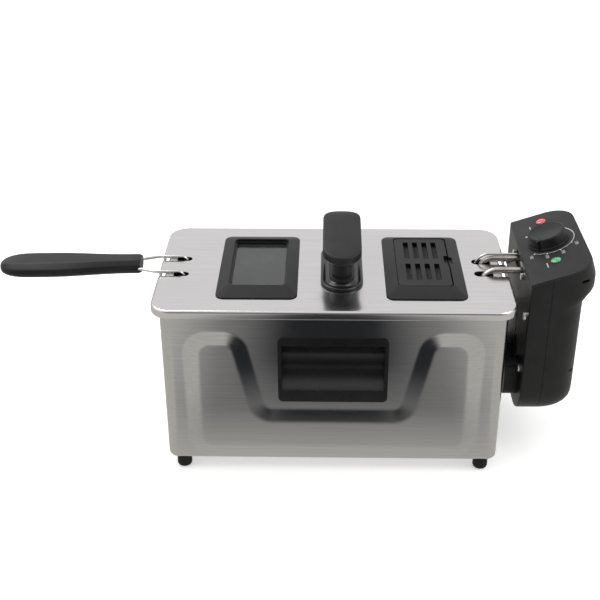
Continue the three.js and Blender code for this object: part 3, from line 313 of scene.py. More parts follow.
def remap(nodes, links, source, low, high, start, end):
    """A value whose run from start to end becomes a run from low to high."""
    node = nodes.new("ShaderNodeMapRange")
    for key, value in (("From Min", start), ("From Max", end), ("To Min", low), ("To Max", high)):
        node.inputs[key].default_value = value
    links.new(source, node.inputs["Value"])
    return node.outputs["Result"]


class Finish:
    """A node material: colour and roughness wander with noise, and a fine grain lifts the surface."""

    def __init__(self, name, **constants):
        self.material = bpy.data.materials.new(name)
        self.material.use_nodes = True
        self.nodes = self.material.node_tree.nodes
        self.links = self.material.node_tree.links
        self.shader = self.nodes["Principled BSDF"]
        for socket, value in constants.items():
            self.shader.inputs[socket.replace("_", " ")].default_value = value
        self.coords = self.nodes.new("ShaderNodeTexCoord").outputs["Object"]

    def noise(self, scale, detail=4.0, stretch=(1, 1, 1), roughness=0.55, distortion=0.0):
        mapping = self.nodes.new("ShaderNodeMapping")
        mapping.inputs["Scale"].default_value = stretch
        texture = self.nodes.new("ShaderNodeTexNoise")
        for key, value in (
                ("Scale", scale), ("Detail", detail), ("Roughness", roughness), ("Distortion", distortion)):
            texture.inputs[key].default_value = value
        self.links.new(self.coords, mapping.inputs["Vector"])
        self.links.new(mapping.outputs["Vector"], texture.inputs["Vector"])
        return texture.outputs["Fac"]

    def spread(self, source, low, high, start=0.3, end=0.7):
        """A noise stretched to run between two values."""
        return remap(self.nodes, self.links, source, low, high, start, end)

    def blend(self, factor, first, second):
        """A colour between two colours, each a tuple or another socket."""
        mix = self.nodes.new("ShaderNodeMix")
        mix.data_type = "RGBA"
        self.links.new(factor, mix.inputs["Factor"])
        for socket, colour in ((mix.inputs[6], first), (mix.inputs[7], second)):
            if isinstance(colour, tuple):
                socket.default_value = (*colour, 1)
            else:
                self.links.new(colour, socket)
        return mix.outputs[2]

    def colour(self, socket):
        self.links.new(socket, self.shader.inputs["Base Color"])

    def rough(self, socket):
        self.links.new(socket, self.shader.inputs["Roughness"])

    def lift(self, source, distance):
        """Adds a bump of a height in millimetres on top of those already there."""
        bump = self.nodes.new("ShaderNodeBump")
        bump.inputs["Strength"].default_value = 1
        bump.inputs["Distance"].default_value = distance / 1000
        self.links.new(source, bump.inputs["Height"])
        earlier = self.shader.inputs["Normal"].links
        if earlier:
            self.links.new(earlier[0].from_socket, bump.inputs["Normal"])
        self.links.new(bump.outputs["Normal"], self.shader.inputs["Normal"])


def brushed(name, light, dark, roughness, stretch):
    """Steel brushed along one axis: long fine streaks in colour, roughness and height."""
    f = Finish(name, Metallic=1.0)
    streaks = f.noise(1100, 4.0, stretch, 0.6)
    hairs = f.noise(3600, 3.0, stretch, 0.6)
    clouds = f.noise(7, 3.0)
    tone = f.blend(f.spread(streaks, 0, 1), dark, light)
    shade = tuple(v * 0.94 for v in dark)
    f.colour(f.blend(f.spread(clouds, 0.0, 0.35), tone, shade))
    f.rough(f.spread(hairs, roughness[0], roughness[1]))
    f.lift(hairs, 0.004)
    return f.material


def mottled(name, tones, tone_noise, roughness, rough_noise, lift=(0, 0), **constants):
    """Colour wanders with a first noise and roughness with a second; lift says which is raised, and how far."""
    f = Finish(name, **constants)
    noises = [f.noise(*tone_noise), f.noise(*rough_noise)]
    f.colour(f.blend(f.spread(noises[0], 0, 1), *tones))
    f.rough(f.spread(noises[1], *roughness))
    if lift[1]:
        f.lift(noises[lift[0]], lift[1])
    return f.material


def polished(name, light, dark, roughness):
    return mottled(name, (dark, light), (60, 4.0), roughness, (700, 3.0), (1, 0.01), Metallic=1.0)


def plastic(name, light, dark, roughness, grain=0.02, grain_scale=2600, shine=0.3):
    """Moulded plastic: a fine spark-eroded grain, faint mottling and a few duller patches."""
    f = Finish(name, Specular_IOR_Level=shine)
    mottle = f.noise(45, 4.0)
    pores = f.noise(grain_scale, 2.0, roughness=0.5)
    wear = f.noise(12, 5.0, distortion=0.6)
    tone = f.blend(f.spread(mottle, 0, 1), dark, light)
    f.colour(f.blend(f.spread(pores, 0.0, 0.25), tone, dark))
    f.rough(f.spread(wear, roughness[0], roughness[1]))
    f.lift(pores, grain)
    return f.material


def lens(name, light, dark, glow):
    """A moulded lamp lens with a lit, faceted inside."""
    f = Finish(name, Coat_Weight=1.0, Coat_Roughness=0.05)
    cells = f.noise(900, 1.0)
    patches = f.noise(260, 2.0)
    tone = f.blend(f.spread(cells, 0, 1, 0.42, 0.58), dark, light)
    f.colour(tone)
    f.links.new(tone, f.shader.inputs["Emission Color"])
    f.links.new(f.spread(patches, glow * 0.4, glow), f.shader.inputs["Emission Strength"])
    f.rough(f.spread(cells, 0.12, 0.3))
    f.lift(cells, 0.1)
    return f.material


ALONG_X = (0.012, 1, 1)
ALONG_Z = (1, 1, 0.012)
STEEL_LIGHT, STEEL_DARK = (0.62, 0.615, 0.605), (0.54, 0.53, 0.52)

M = {
    "housing": brushed("brushed_housing", STEEL_LIGHT, STEEL_DARK, (0.1, 0.16), ALONG_X),
    "lid": brushed("brushed_lid", (0.75, 0.735, 0.735), (0.67, 0.655, 0.655), (0.15, 0.22), ALONG_X),
    "inside": brushed("satin_inside", (0.66, 0.65, 0.64), (0.56, 0.55, 0.54), (0.2, 0.32), ALONG_Z),
    "bright": polished("polished_steel", (0.82, 0.81, 0.79), (0.62, 0.61, 0.59), (0.06, 0.16)),
    "tube": polished("element_tube", (0.66, 0.63, 0.6), (0.4, 0.37, 0.34), (0.14, 0.28)),
    "black": plastic("black_moulding", (0.009, 0.009, 0.0095), (0.005, 0.005, 0.0052), (0.2, 0.3), shine=0.5),
    "head": plastic("head_moulding", (0.011, 0.011, 0.0115), (0.007, 0.007, 0.0073), (0.34, 0.46), 0.03),
    "panel": plastic("panel_moulding", (0.018, 0.018, 0.019), (0.012, 0.012, 0.0125), (0.42, 0.54), 0.03, 3200),
    "frame": plastic(
        "frame_moulding", (0.012, 0.012, 0.0125), (0.008, 0.008, 0.0083), (0.34, 0.46), 0.03, shine=0.25),
    "grip": plastic("grip_moulding", (0.013, 0.013, 0.0135), (0.008, 0.008, 0.0083), (0.32, 0.44), 0.04, 2200),
    "rubber": plastic("foot_rubber", (0.012, 0.012, 0.012), (0.007, 0.007, 0.007), (0.7, 0.9), 0.05, 1500),
    "print": plastic("dial_print", (0.6, 0.6, 0.6), (0.45, 0.45, 0.45), (0.5, 0.7), 0.01),
    "red": plastic("red_plastic", (0.5, 0.03, 0.03), (0.35, 0.02, 0.02), (0.35, 0.5)),
    "glass": mottled(
        "tinted_glass", ((0.24, 0.25, 0.25), (0.3, 0.31, 0.31)), (25, 5.0), (0.03, 0.09), (1500, 2.0),
        IOR=1.5, Transmission_Weight=0.92),
    "red_lens": lens("red_lens", (0.8, 0.1, 0.1), (0.6, 0.004, 0.01), 0.3),
    "green_lens": lens("green_lens", (0.1, 0.5, 0.22), (0.01, 0.2, 0.06), 0.3),
    "felt": mottled(
        "filter_felt", ((0.012, 0.012, 0.0115), (0.03, 0.03, 0.028)), (900, 6.0, (1, 1, 0.3), 0.8, 2.0),
        (0.85, 1.0), (120, 3.0), (0, 0.4), Sheen_Weight=0.4),
    "ceramic": mottled(
        "white_ceramic", ((0.62, 0.58, 0.5), (0.72, 0.69, 0.62)), (1200, 4.0), (0.55, 0.8), (70, 3.0), (0, 0.05)),
}
# The record's material slots and their finishes; a CAD piece that keeps its shape has the first.
SLOTS = {
    "brushed_steel": ["inside", "housing", "lid"],
    "polished_steel": ["bright", "tube"],
    "black_plastic": ["black", "head", "frame", "grip"],
    "grey_plastic": ["panel", "print"],
    "black_rubber": ["rubber"],
    "window_glass": ["glass"],
    "filter_felt": ["felt"],
    "red_lens": ["red_lens"],
    "green_lens": ["green_lens"],
    "red_plastic": ["red"],
    "white_ceramic": ["ceramic"],
}


# ---- Housing, feet and carry handles -------------------------

FLOOR_ROUND = 4.0
FLOOR_FLANGE = 16.0
WALL_ROWS = 104
PANEL_EDGE = {"width": 14.5, "rise": 2.2, "round": 17.0, "soft": 0.8}
PRESSED_LOOP = [(136, 25), (136, 155), (92, 155), (72, 67.5)]
RECESS = {"width": 106.0, "height": 72.0, "z": 120.0, "corner": 5.0, "overlap": 2.0}


def pressed_loop():
    """The middle line of the raised panel's sloping border, with rounded corners."""
    start = (0.0, PRESSED_LOOP[0][1])
    corners = [start] + PRESSED_LOOP + [(-x, z) for x, z in reversed(PRESSED_LOOP)] + [start]
    route = [Vector((x, z, 0)) for x, z in corners]
    return np.array([p.xy for p in bent_path(route, PANEL_EDGE["round"], 10)[:-1]])


def signed_distance(points, loop):
    """How far each point lies outside a closed loop, negative inside it."""
    ahead = np.roll(loop, -1, axis=0)
    step = ahead - loop
    rel = points[:, None, :] - loop[None]
    along = np.clip((rel * step).sum(-1) / np.maximum((step * step).sum(-1), 1e-9), 0, 1)
    near = np.linalg.norm(rel - along[..., None] * step, axis=-1).min(1)
    x, z = points[:, 0:1], points[:, 1:2]
    spans = (loop[:, 1] > z) != (ahead[:, 1] > z)
    rise = np.where(np.abs(step[:, 1]) < 1e-9, 1e-9, step[:, 1])
    crossed = spans & (x < loop[:, 0] + (z - loop[:, 1]) * step[:, 0] / rise)
    return np.where(crossed.sum(1) % 2 == 1, -near, near)


def soft_ramp(t, soft):
    """0 to 1 along a straight slope whose two ends are eased."""
    t = np.clip(t, -1, 2)
    eased = lambda v: np.where(v < -soft, 0, np.where(v > soft, v, (v + soft) ** 2 / (4 * soft)))
    return eased(t) - eased(t - 1)


def housing_skin():
    """The shell's outer skin: its points, its faces, and which points lie on the long sides' walls."""
    ring = lambda inset: outline(
        HOUSING.half_x - inset, HALF_WIDTH - inset, HOUSING_CORNER - inset, steps=10, long=205, short=10)
    low, top = HOUSING.z0, HOUSING.z1
    rings = [level(ring(FLOOR_FLANGE), low), level(ring(FLOOR_ROUND + 0.5), low)]
    for k in range(1, 7):
        angle = math.radians(15 * k)
        inset = FLOOR_ROUND * (1 - math.sin(angle))
        rings.append(level(ring(inset), low + FLOOR_ROUND * (1 - math.cos(angle))))
    first_wall = len(rings)
    wall_low, wall_high = low + FLOOR_ROUND, top - SHEET
    for k in range(1, WALL_ROWS + 1):
        rings.append(level(ring(0), wall_low + (wall_high - wall_low) * k / WALL_ROWS))
    rings += [level(ring(0.4), top - 0.35), level(ring(1.2), top), level(ring(5), top)]
    vertices, faces = loft(rings)
    places = np.array(vertices)
    wall = np.arange(len(vertices)) >= first_wall * len(rings[0])
    wall &= (np.abs(places[:, 1]) > HALF_WIDTH - 0.01) & (places[:, 2] < wall_high)
    faces_without_caps = faces[:-2]
    return places, faces_without_caps, wall


def raise_panels(places, wall):
    """Moves the wall's points out where the raised panels are."""
    distance = signed_distance(places[wall][:, [0, 2]], pressed_loop())
    share = soft_ramp(0.5 - distance / PANEL_EDGE["width"], PANEL_EDGE["soft"] / PANEL_EDGE["width"])
    places[wall, 1] += np.sign(places[wall, 1]) * PANEL_EDGE["rise"] * share


def round_openings(places, faces):
    """The faces that stay when the carry handles' openings are cut into the long sides."""
    half_x = RECESS["width"] / 2 - RECESS["overlap"]
    half_z = RECESS["height"] / 2 - RECESS["overlap"]
    centres = np.array([places[list(face)].mean(0) for face in faces])
    hole = (np.abs(centres[:, 0]) < half_x) & (np.abs(centres[:, 2] - RECESS["z"]) < half_z)
    hole &= np.abs(centres[:, 1]) > HALF_WIDTH - 1
    return [face for face, cut in zip(faces, hole) if not cut]


def housing():
    places, faces, wall = housing_skin()
    raise_panels(places, wall)
    mesh = bpy.data.meshes.new("housing")
    mesh.from_pydata([tuple(p) for p in places], [], round_openings(places, faces))
    bm = bmesh.new()
    bm.from_mesh(mesh)
    loose = [v for v in bm.verts if not v.link_faces]
    bmesh.ops.delete(bm, geom=loose, context="VERTS")
    bm.to_mesh(mesh)
    bm.free()
    made = piece("housing", mesh, "housing", "housing", ["housing_shell"], sharp=50)
    sheet = made.modifiers.new("sheet", "SOLIDIFY")
    sheet.thickness = SHEET / 1000
    sheet.offset = -1


def feet():
    for name in ("front_left", "front_right", "rear_left", "rear_right"):
        foot = Box("foot_" + name)
        profile = [(0.6, 0.0), (4.0, 0.0), (5.6, 0.5), (6.8, 1.5), (7.4, 2.9), (7.5, 4.2), (7.3, 9.0),
                   (7.1, 13.4), (6.6, foot.z1), (0.6, foot.z1)]
        piece("rubber_foot_" + name, turned(profile, foot.x, foot.y), "housing", "rubber", ["foot_" + name])


def carry_handles():
    """Black mouldings let into the long sides, each with a hollow trough to lift by."""
    proud, thick, depth, trough, cheek, wall = 0.8, 3.8, 15.0, 50.0, 3.5, 2.2
    radius = ((trough / 2) ** 2 + depth ** 2) / (2 * depth)
    face = -HALF_WIDTH - proud
    axis_y = face - (radius - depth)
    trough_z = RECESS["z"] + 2
    end = RECESS["width"] / 2 - cheek
    barrel = lambda r, x: rod((-x, axis_y, trough_z), (x, axis_y, trough_z), r, 128)
    rim = [(p.x, p.y + RECESS["z"]) for p in outline(
        RECESS["width"] / 2, RECESS["height"] / 2, RECESS["corner"])]
    behind_face = block((-80, 80), (face + 1, 0), (0, 180))
    back = boolean(mesh_of(barrel(radius + wall, end + wall)), behind_face, "INTERSECT")
    plate = boolean(mesh_of(prism(rim, face, face + thick, "y")), back, "UNION")
    plate = boolean(plate, barrel(radius, end))
    for name, turn in (("front", 0), ("rear", math.pi)):
        place = TO_FRAME @ Matrix.Rotation(turn, 4, "Z")
        piece("carry_moulding_" + name, plate.copy(), "housing", "black", ["carry_handle_" + name], bevel=0.9,
              place=place)


# ---- Oil pot, element and sensor -----------------------------

def oil_pot():
    """A deep pot with a rounded floor, leaning walls, a straight neck and a rim turned down at its edge."""
    floor, top, corner = POT.z0, POT.z1, 26
    neck_x, neck_y, neck_low = HOUSING.half_x - 6.2, HALF_WIDTH - 6.2, 172
    rim_x, rim_y = POT.half_x - SHEET, POT.half_y - SHEET
    floor_edge = []
    for k in range(6):
        angle = math.radians(18 * k)
        floor_edge.append((147 + 6.5 * math.sin(angle), 55.5 + 6.5 * math.sin(angle),
                           20 + 6 * math.sin(angle), floor + 7 * (1 - math.cos(angle))))
    wall = [(156.3, 68.2, corner, 153), (156.8, 69.6, corner, 156),
            (neck_x - 0.4, neck_y - 1.4, corner, neck_low - 3), (neck_x, neck_y, corner, neck_low)]
    rim = [(neck_x, neck_y, corner, top - 2.4), (neck_x + 1.2, neck_y + 1.2, corner, top - SHEET),
           (rim_x, rim_y, 13, top - SHEET), (rim_x, rim_y, 13, top - 6.2),
           (POT.half_x, POT.half_y, 14, top - 6.5), (POT.half_x, POT.half_y, 14, top - 1.4),
           (POT.half_x - 0.5, POT.half_y - 0.5, 13.5, top - 0.3), (POT.half_x - 1.6, POT.half_y - 1.6, 13, top),
           (neck_x + 0.2, neck_y + 0.2, 25, top), (neck_x - 0.9, neck_y - 0.9, 25, top - 0.6)]
    inside = [(x - SHEET, y - SHEET, r - SHEET, z) for x, y, r, z in reversed(floor_edge[-1:] + wall)]
    inside += [(x - SHEET, y - SHEET, r - SHEET, z + SHEET) for x, y, r, z in reversed(floor_edge[:-1])]
    rings = [level(outline(x, y, r, steps=12), z) for x, y, r, z in floor_edge + wall + rim + inside]
    piece("pot", loft(rings), "oil_pot", "inside", ["oil_pot"], sharp=60)


ELEMENT = {"radius": 3.25, "spread": 13.0, "riser_x": 147.0, "turn": 105.0, "inner": 70.0, "reach": 118.0,
           "inner_y": 17.0, "outer_y": 50.0, "bend": 15.0, "coil_bend": 11.0}


def heating_element():
    e = ELEMENT
    top, coil = Box("heating_element").z1 - e["radius"], Box("heating_element").z0 + e["radius"]
    spread = e["spread"]
    route = mirrored([
        (FACE_X + 13, spread, top), (e["riser_x"], spread, top), (e["riser_x"], spread, coil),
        (e["turn"], spread, coil), (e["turn"], e["outer_y"], coil), (-e["reach"], e["outer_y"], coil),
        (-e["reach"], e["inner_y"], coil), (e["inner"], e["inner_y"], coil)])
    bends = [e["coil_bend"]] * (len(route) - 2)
    bends[0] = bends[-1] = e["bend"]
    bar = tube(bent_path(route, bends, 10), e["radius"], 24)
    piece("element", bar, "control_head", "tube", ["heating_element"])
    lift = e["radius"] + 1.5
    down_x = e["riser_x"] - lift
    bulb_z = coil + e["radius"] + 6
    line = [(FACE_X + 12, spread, top + lift), (down_x, spread, top + lift), (down_x, spread, bulb_z),
            (down_x - 20, spread, bulb_z)]
    bulb = [(down_x - 12, spread, bulb_z), (down_x - 72, spread, bulb_z)]
    shape = combine([tube(bent_path(line, [e["bend"], 6.0], 8), 1.2, 12), rod(*bulb, 3.0, 24)])
    piece("sensor", shape, "control_head", "bright", ["thermostat_sensor"])


# ---- Basket --------------------------------------------------

def basket():
    """A woven wire basket whose sides lean in towards its floor, hung in a thicker rim wire."""
    mesh, rim = Box("basket_mesh"), Box("basket_rim")
    x, half_x, half_y, top, low = mesh.x, mesh.half_x, mesh.half_y, mesh.z1, mesh.z0
    taper, wire, pitch, floor_round, levels = 5.0, 0.45, 5.2, 6, 20
    lean = lambda z: taper * (top - z) / (top - low)
    side = lambda z: outline(half_x - wire - lean(z), half_y - wire - lean(z), 20, x, 0, 6)
    wall_low = low + floor_round
    heights = [wall_low + (top - wall_low) * k / (levels - 1) for k in range(levels)]
    shapes = [tube(level(side(z), z), wire, 6, closed=True) for z in heights]
    scale_x, scale_y = (half_x - taper - 1) / half_x, (half_y - taper - 1) / half_y
    floor_x, floor_y = half_x - taper - floor_round, half_y - taper - floor_round
    across, along = round(2 * half_x / pitch), round(2 * half_y / pitch)
    for p in outline(half_x - wire, half_y - wire, 20, x, 0, 6, across, along):
        foot = Vector((x + (p.x - x) * scale_x, p.y * scale_y, wall_low))
        under = Vector((x + (p.x - x) * floor_x / half_x, p.y * floor_y / half_y, low + wire))
        bend = foot.lerp(under, 0.5) - Vector((0, 0, 1.2))
        shapes.append(tube([Vector((p.x, p.y, top - 1)), foot, bend, under], wire, 6))
    for k in range(int(2 * floor_x / pitch) + 1):
        at = x - floor_x + k * pitch
        shapes.append(rod((at, -floor_y, low + wire), (at, floor_y, low + wire), wire, 6))
    for k in range(int(2 * floor_y / pitch) + 1):
        at = -floor_y + k * pitch
        shapes.append(rod((x - floor_x, at, low + 3 * wire), (x + floor_x, at, low + 3 * wire), wire, 6))
    piece("basket_wires", combine(shapes), "basket", "bright", ["basket_mesh"])
    loop = level(outline(rim.half_x - 2, rim.half_y - 2, 22, rim.x, 0, 12), (rim.z0 + rim.z1) / 2)
    piece("basket_rim_wire", tube(loop, 2.0, 16, closed=True), "basket", "bright", ["basket_rim"])


WIRE = {"radius": 1.5, "spread": 16.5, "x": -148.0, "foot": 128.0, "pinch": 10.0, "z": 188.5}
GRIP = {"start": -192.0, "length": 143.0, "droop": 3.0}


def basket_handle():
    """Two wires that rise from the basket's socket and pinch together in the two halves of the grip."""
    w = WIRE
    route = mirrored([
        (w["x"], w["spread"], w["foot"]), (w["x"], w["spread"], w["z"]), (LID.x0 - 3, w["spread"], w["z"]),
        (GRIP["start"] - 3, w["pinch"], w["z"]), (GRIP["start"] - 34, w["pinch"] * 0.7, w["z"] - 0.6)])
    path = bent_path(route, [6.0, 12.0, 12.0, 6.0, 6.0, 12.0, 12.0, 6.0], 8)
    piece("handle_wires", tube(path, w["radius"], 20), "basket_handle", "bright", ["handle_wire"])
    for name, upper in (("upper", True), ("lower", False)):
        piece("grip_half_" + name, grip_half(upper), "basket_handle", "grip", ["grip_" + name], sharp=50)


def grip_half(upper):
    """One moulding of the grip: a flat-topped upper half or a round-bellied lower half."""
    stations = [0, 0.004, 0.02, 0.08, 0.16, 0.24, 0.33, 0.42, 0.52, 0.62, 0.7, 0.77, 0.83, 0.88, 0.92, 0.95,
                0.97, 0.985, 0.995, 1]
    seam = 0.15 if upper else -0.15
    if upper:
        corners = [Vector((1, 0, 0)), Vector((0.97, 0.42, 0)), Vector((0.58, 1, 0)), Vector((-0.58, 1, 0)),
                   Vector((-0.97, 0.42, 0)), Vector((-1, 0, 0))]
        unit = [p.xy for p in bent_path(corners, [0.5, 0.16, 0.16, 0.5], 6)]
    else:
        turns = [math.pi * k / 24 for k in range(25)]
        unit = [Vector((-math.cos(a), -abs(math.sin(a)) ** 0.85)) for a in turns]
    rings = []
    for along in stations:
        x = GRIP["start"] - along * GRIP["length"]
        z = WIRE["z"] - along * GRIP["droop"]
        tip = max(0.0, (along - 0.76) / 0.24)
        full = math.sqrt(max(0.0, 1 - tip ** 2.7))
        nose = min(1.0, 0.9 + along * 5)
        blend = max(0.0, min(1.0, (along - 0.1) / 0.52))
        waist = 0.63 + 0.37 * blend * blend * (3 - 2 * blend)
        half_y = 19.0 * waist * full * nose + 0.2
        half_z = 8.4 * (0.84 + 0.16 * waist) * (0.25 + 0.75 * full) * nose
        rings.append([Vector((x, -p.x * half_y, z + seam + p.y * half_z)) for p in unit])
    return loft(rings)


# ---- Lid -----------------------------------------------------

def frame_hole(node_box, left, back, front):
    """What a frame leaves open, as half sizes and a middle."""
    y0, y1 = node_box.y0 + front, node_box.y1 - back
    return {"half_x": node_box.half_x - left, "half_y": (y1 - y0) / 2, "x": node_box.x, "y": (y0 + y1) / 2}


WINDOW_HOLE = frame_hole(WINDOW, 11.8, 11.0, 22.5)
VENT_HOLE = frame_hole(VENT, 12.0, 8.0, 22.0)


def hole_ring(hole, grow, radius, z):
    points = outline(hole["half_x"] + grow, hole["half_y"] + grow, radius, hole["x"], hole["y"], 6)
    return level(points, z)


def rim_rings(box):
    """The rounded outer rim of a frame that lies on the lid, from its underside up."""
    return [
        level(outline(box.half_x - inset, box.half_y - inset, 8 - inset, box.x, 0, 6), FRAME_LOW + height)
        for inset, height in ((0, 0), (0, 0.5), (0.35, 0.9), (1.2, 1.15))
    ]


def lid_panel():
    """A tray-like sheet with a rounded top edge, a skirt with a rolled hem, two holes and four open slots."""
    edge, under, round_edge, hem = LID.z0, LID_TOP - LID_SHEET, 2.6, 1.4
    turns = [math.radians(15 * k) for k in range(7)]
    ring = lambda inset, z: level(
        outline(LID.half_x - inset, LID.half_y - inset, LID_CORNER - inset, steps=16), z)
    rings = [ring(LID_SHEET + 1.9, under), ring(LID_SHEET + 0.6, under - 0.5), ring(LID_SHEET, under - 1.9),
             ring(LID_SHEET, edge + 1.6), ring(LID_SHEET + 0.4, edge + 1.0), ring(LID_SHEET + 0.3, edge + 0.3)]
    rings += [ring(hem * (1 - math.sin(a)), edge + hem * (1 - math.cos(a))) for a in turns]
    rings += [ring(round_edge * (1 - math.cos(a)), LID_TOP - round_edge * (1 - math.sin(a))) for a in turns]
    mesh = mesh_of(loft(rings))
    for hole in (WINDOW_HOLE, VENT_HOLE):
        mesh = boolean(mesh, loft([hole_ring(hole, 4.6, 6, z) for z in (under - 5, LID_TOP + 5)]))
    far = LID.half_x + 20
    for side, spread, start, width in ((-1, WIRE["spread"], 143.0, 9.0), (1, ELEMENT["spread"], 139.0, 11.5)):
        for y in (-spread, spread):
            points = outline((far - start) / 2, width / 2, width / 2, side * (start + far) / 2, y, 10)
            mesh = boolean(mesh, prism(points, edge - 5, LID_TOP + 5))
    piece("lid_sheet", mesh, "lid", "lid", ["lid_panel"], sharp=30)


def lid_window():
    """A frame that slopes from a crest round the opening down to its rim, with a stepped inside wall."""
    pane_top = GLASS.z1
    ring = lambda grow, radius, z: hole_ring(WINDOW_HOLE, grow, radius, z)
    rings = rim_rings(WINDOW) + [
        ring(1.6, 4.5, FRAME_TOP - 0.15), ring(1.0, 4.2, FRAME_TOP), ring(0.4, 4, FRAME_TOP - 0.2),
        ring(0, 4, FRAME_TOP - 0.8), ring(0, 4, pane_top + 2.4), ring(-1.4, 3, pane_top + 2.0),
        ring(-1.5, 3, pane_top + 0.1), ring(2.9, 5, pane_top + 0.1), ring(2.9, 5, WINDOW.z0),
        ring(4.3, 6, WINDOW.z0), ring(4.3, 6, FRAME_LOW)]
    piece("window_surround", loft(rings, closed=True), "lid", "frame", ["window_frame"], sharp=24)
    pane = [ring(2.2, 4.6, GLASS.z0), ring(2.6, 5, GLASS.z0 + 0.4), ring(2.6, 5, GLASS.z1 - 0.4),
            ring(2.2, 4.6, GLASS.z1)]
    piece("window_pane", loft(pane), "lid", "glass", ["window_glass"])


VENT_SLOTS = {"columns": 4, "pitch": 9.5, "half_width": 2.6, "rows": [(-32.3, 2.1), (13.4, 50.2)]}


def lid_vent():
    """The vent's frame, with a dip for a finger beside the cover."""
    hole = VENT_HOLE
    ring = lambda grow, radius, z: hole_ring(hole, grow, radius, z)
    rings = rim_rings(VENT) + [
        ring(1.2, 4.5, FRAME_TOP - 0.1), ring(0.6, 4.2, FRAME_TOP), ring(0.15, 4, FRAME_TOP - 0.15),
        ring(0, 4, FRAME_TOP - 0.5), ring(0, 4, VENT.z0), ring(4.3, 6, VENT.z0), ring(4.3, 6, FRAME_LOW)]
    right = hole["x"] + hole["half_x"]
    finger = block((right - 1, right + 3.2), (2, 16), (LID_TOP + 1.2, FRAME_TOP + 1))
    surround = boolean(mesh_of(loft(rings, closed=True)), finger)
    piece("vent_surround", surround, "lid", "frame", ["vent_frame"], sharp=24)


def vent_flap():
    """The hinged cover: two rows of slots, a stepped notch at its right edge and a hinge bead at its left."""
    hole, low, high = VENT_HOLE, COVER.z0 - 2, COVER.z1 + 2
    points = outline(COVER.half_x - 0.3, hole["half_y"] - 1.1, 4.5, COVER.x - 0.3, hole["y"], 6)
    cover = mesh_of(prism(points, COVER.z0 + 0.6, COVER.z1))
    for column in range(VENT_SLOTS["columns"]):
        x = COVER.x - 0.6 + (column - (VENT_SLOTS["columns"] - 1) / 2) * VENT_SLOTS["pitch"]
        for start, end in VENT_SLOTS["rows"]:
            slot = outline(VENT_SLOTS["half_width"], (end - start) / 2, 0.7, x, (start + end) / 2, 3)
            cover = boolean(cover, prism(slot, low, high))
    for reach, y0, y1 in ((4.4, 4.5, 19.5), (1.6, -2.5, 8)):
        cover = boolean(cover, block((COVER.x1 - reach, COVER.x1 + 2), (y0, y1), (low, high)))
    bead_x, bead_z = COVER.x0 + 1.4, COVER.z0 + 1.4
    bead = rod((bead_x, COVER.y0 + 0.2, bead_z), (bead_x, COVER.y1 - 0.2, bead_z), 1.35)
    cover = boolean(cover, bead, "UNION")
    piece("vent_flap", cover, "vent_cover", "frame", ["vent_cover"], bevel=0.35, segments=2)


def pad_top(y):
    """Height of the lid handle's top over the lid at a place along it."""
    front, back = -52.0, 40.0
    share = (y - front) / (back - front)
    rise = 37.4 + 11.0 * share - 1.6 * (2 * share - 1) ** 2
    droop = max(0.0, (y - (back - 16)) / 16)
    return rise - 3.2 * droop ** 2.2


def lid_handle():
    """A pill-shaped flange on the lid, and above it a flared stem under a long rising pad."""
    base, handle = Box("lid_handle_base"), Box("lid_handle")
    pill = lambda half_x, half_y, x, y, steps=16: outline(half_x, half_y, half_x, x, y, steps)
    lift = [(0, 0), (0, 1.5), (0.4, 2.5), (1.3, 3.1), (2.4, 3.2), (3.4, 2.7), (4.2, 2.0), (5.4, 1.9),
            (6.6, 2.3), (7.6, 3.2), (8.2, 4.0)]
    rings = [level(pill(base.half_x - i, base.half_y - i, base.x, base.y), base.z0 + h) for i, h in lift]
    piece("handle_flange", loft(rings), "lid", "black", ["lid_handle_base"], sharp=60)

    half_width, half_length, stem_y = 10.5, 31.0, -9.0
    flare = [(-2.0, 0.0), (-1.6, 1.2), (0.7, 1.8), (0.9, 3.0), (0.2, 4.2), (0.0, 6.0), (0.0, 26.0),
             (-1.0, 29.0)]
    stem = mesh_of(loft([
        level(pill(half_width - i, half_length - i, handle.x, stem_y), handle.z0 + h) for i, h in flare]))

    half_y = (handle.y1 - handle.y0) / 2
    shape = lambda inset: pill(handle.half_x - inset, half_y - inset, handle.x, handle.y, 18)
    lay = lambda inset, drop: [Vector((p.x, p.y, LID_TOP + pad_top(p.y) - drop)) for p in shape(inset)]
    rings = [lay(12, 9.6), lay(5, 9.6), lay(1.8, 9.2), lay(0.4, 8.2), lay(0, 7.0), lay(0, 2.2), lay(0.2, 1.3),
             lay(0.8, 0.5), lay(1.8, 0.1), lay(3.2, -0.1), lay(8, -0.4), lay(13, -0.6), lay(17.5, -0.7)]
    mesh = boolean(mesh_of(loft(rings)), stem, "UNION")
    piece("handle_pad", mesh, "lid", "panel", ["lid_handle"], sharp=50)


# ---- Control head --------------------------------------------

TOE, FOOT_ROUND, HEAD_DEPTH = 26.0, 35.0, 54.5
NOSE_DEPTH, LIP_DEPTH = 64.5, 58.5
HEAD_HALF = 70.0
LAMP_Y = 43.5
PANEL_PLACE = TO_FRAME @ PANEL_FRAME


def head_ring(depth, corner, half_y, base, shear):
    """The head's outline at one level; shear tilts the level towards the control panel's slope."""
    right, edge = FACE_X + depth, 1.2
    corner = min(corner, half_y - edge - 0.5, depth - edge - 0.5)
    points = []
    for cx, cy, r, start, steps in (
            (FACE_X + edge, -half_y + edge, edge, 180, 6),
            (right - corner, -half_y + corner, corner, 270, 14),
            (right - corner, half_y - corner, corner, 0, 14),
            (FACE_X + edge, half_y - edge, edge, 90, 6)):
        for i in range(steps + 1):
            angle = math.radians(start + 90 * i / steps)
            points.append((cx + r * math.cos(angle), cy + r * math.sin(angle)))
    return [Vector((x, y, base + shear * (x - FACE_X) * math.tan(SLOPE))) for x, y in points]


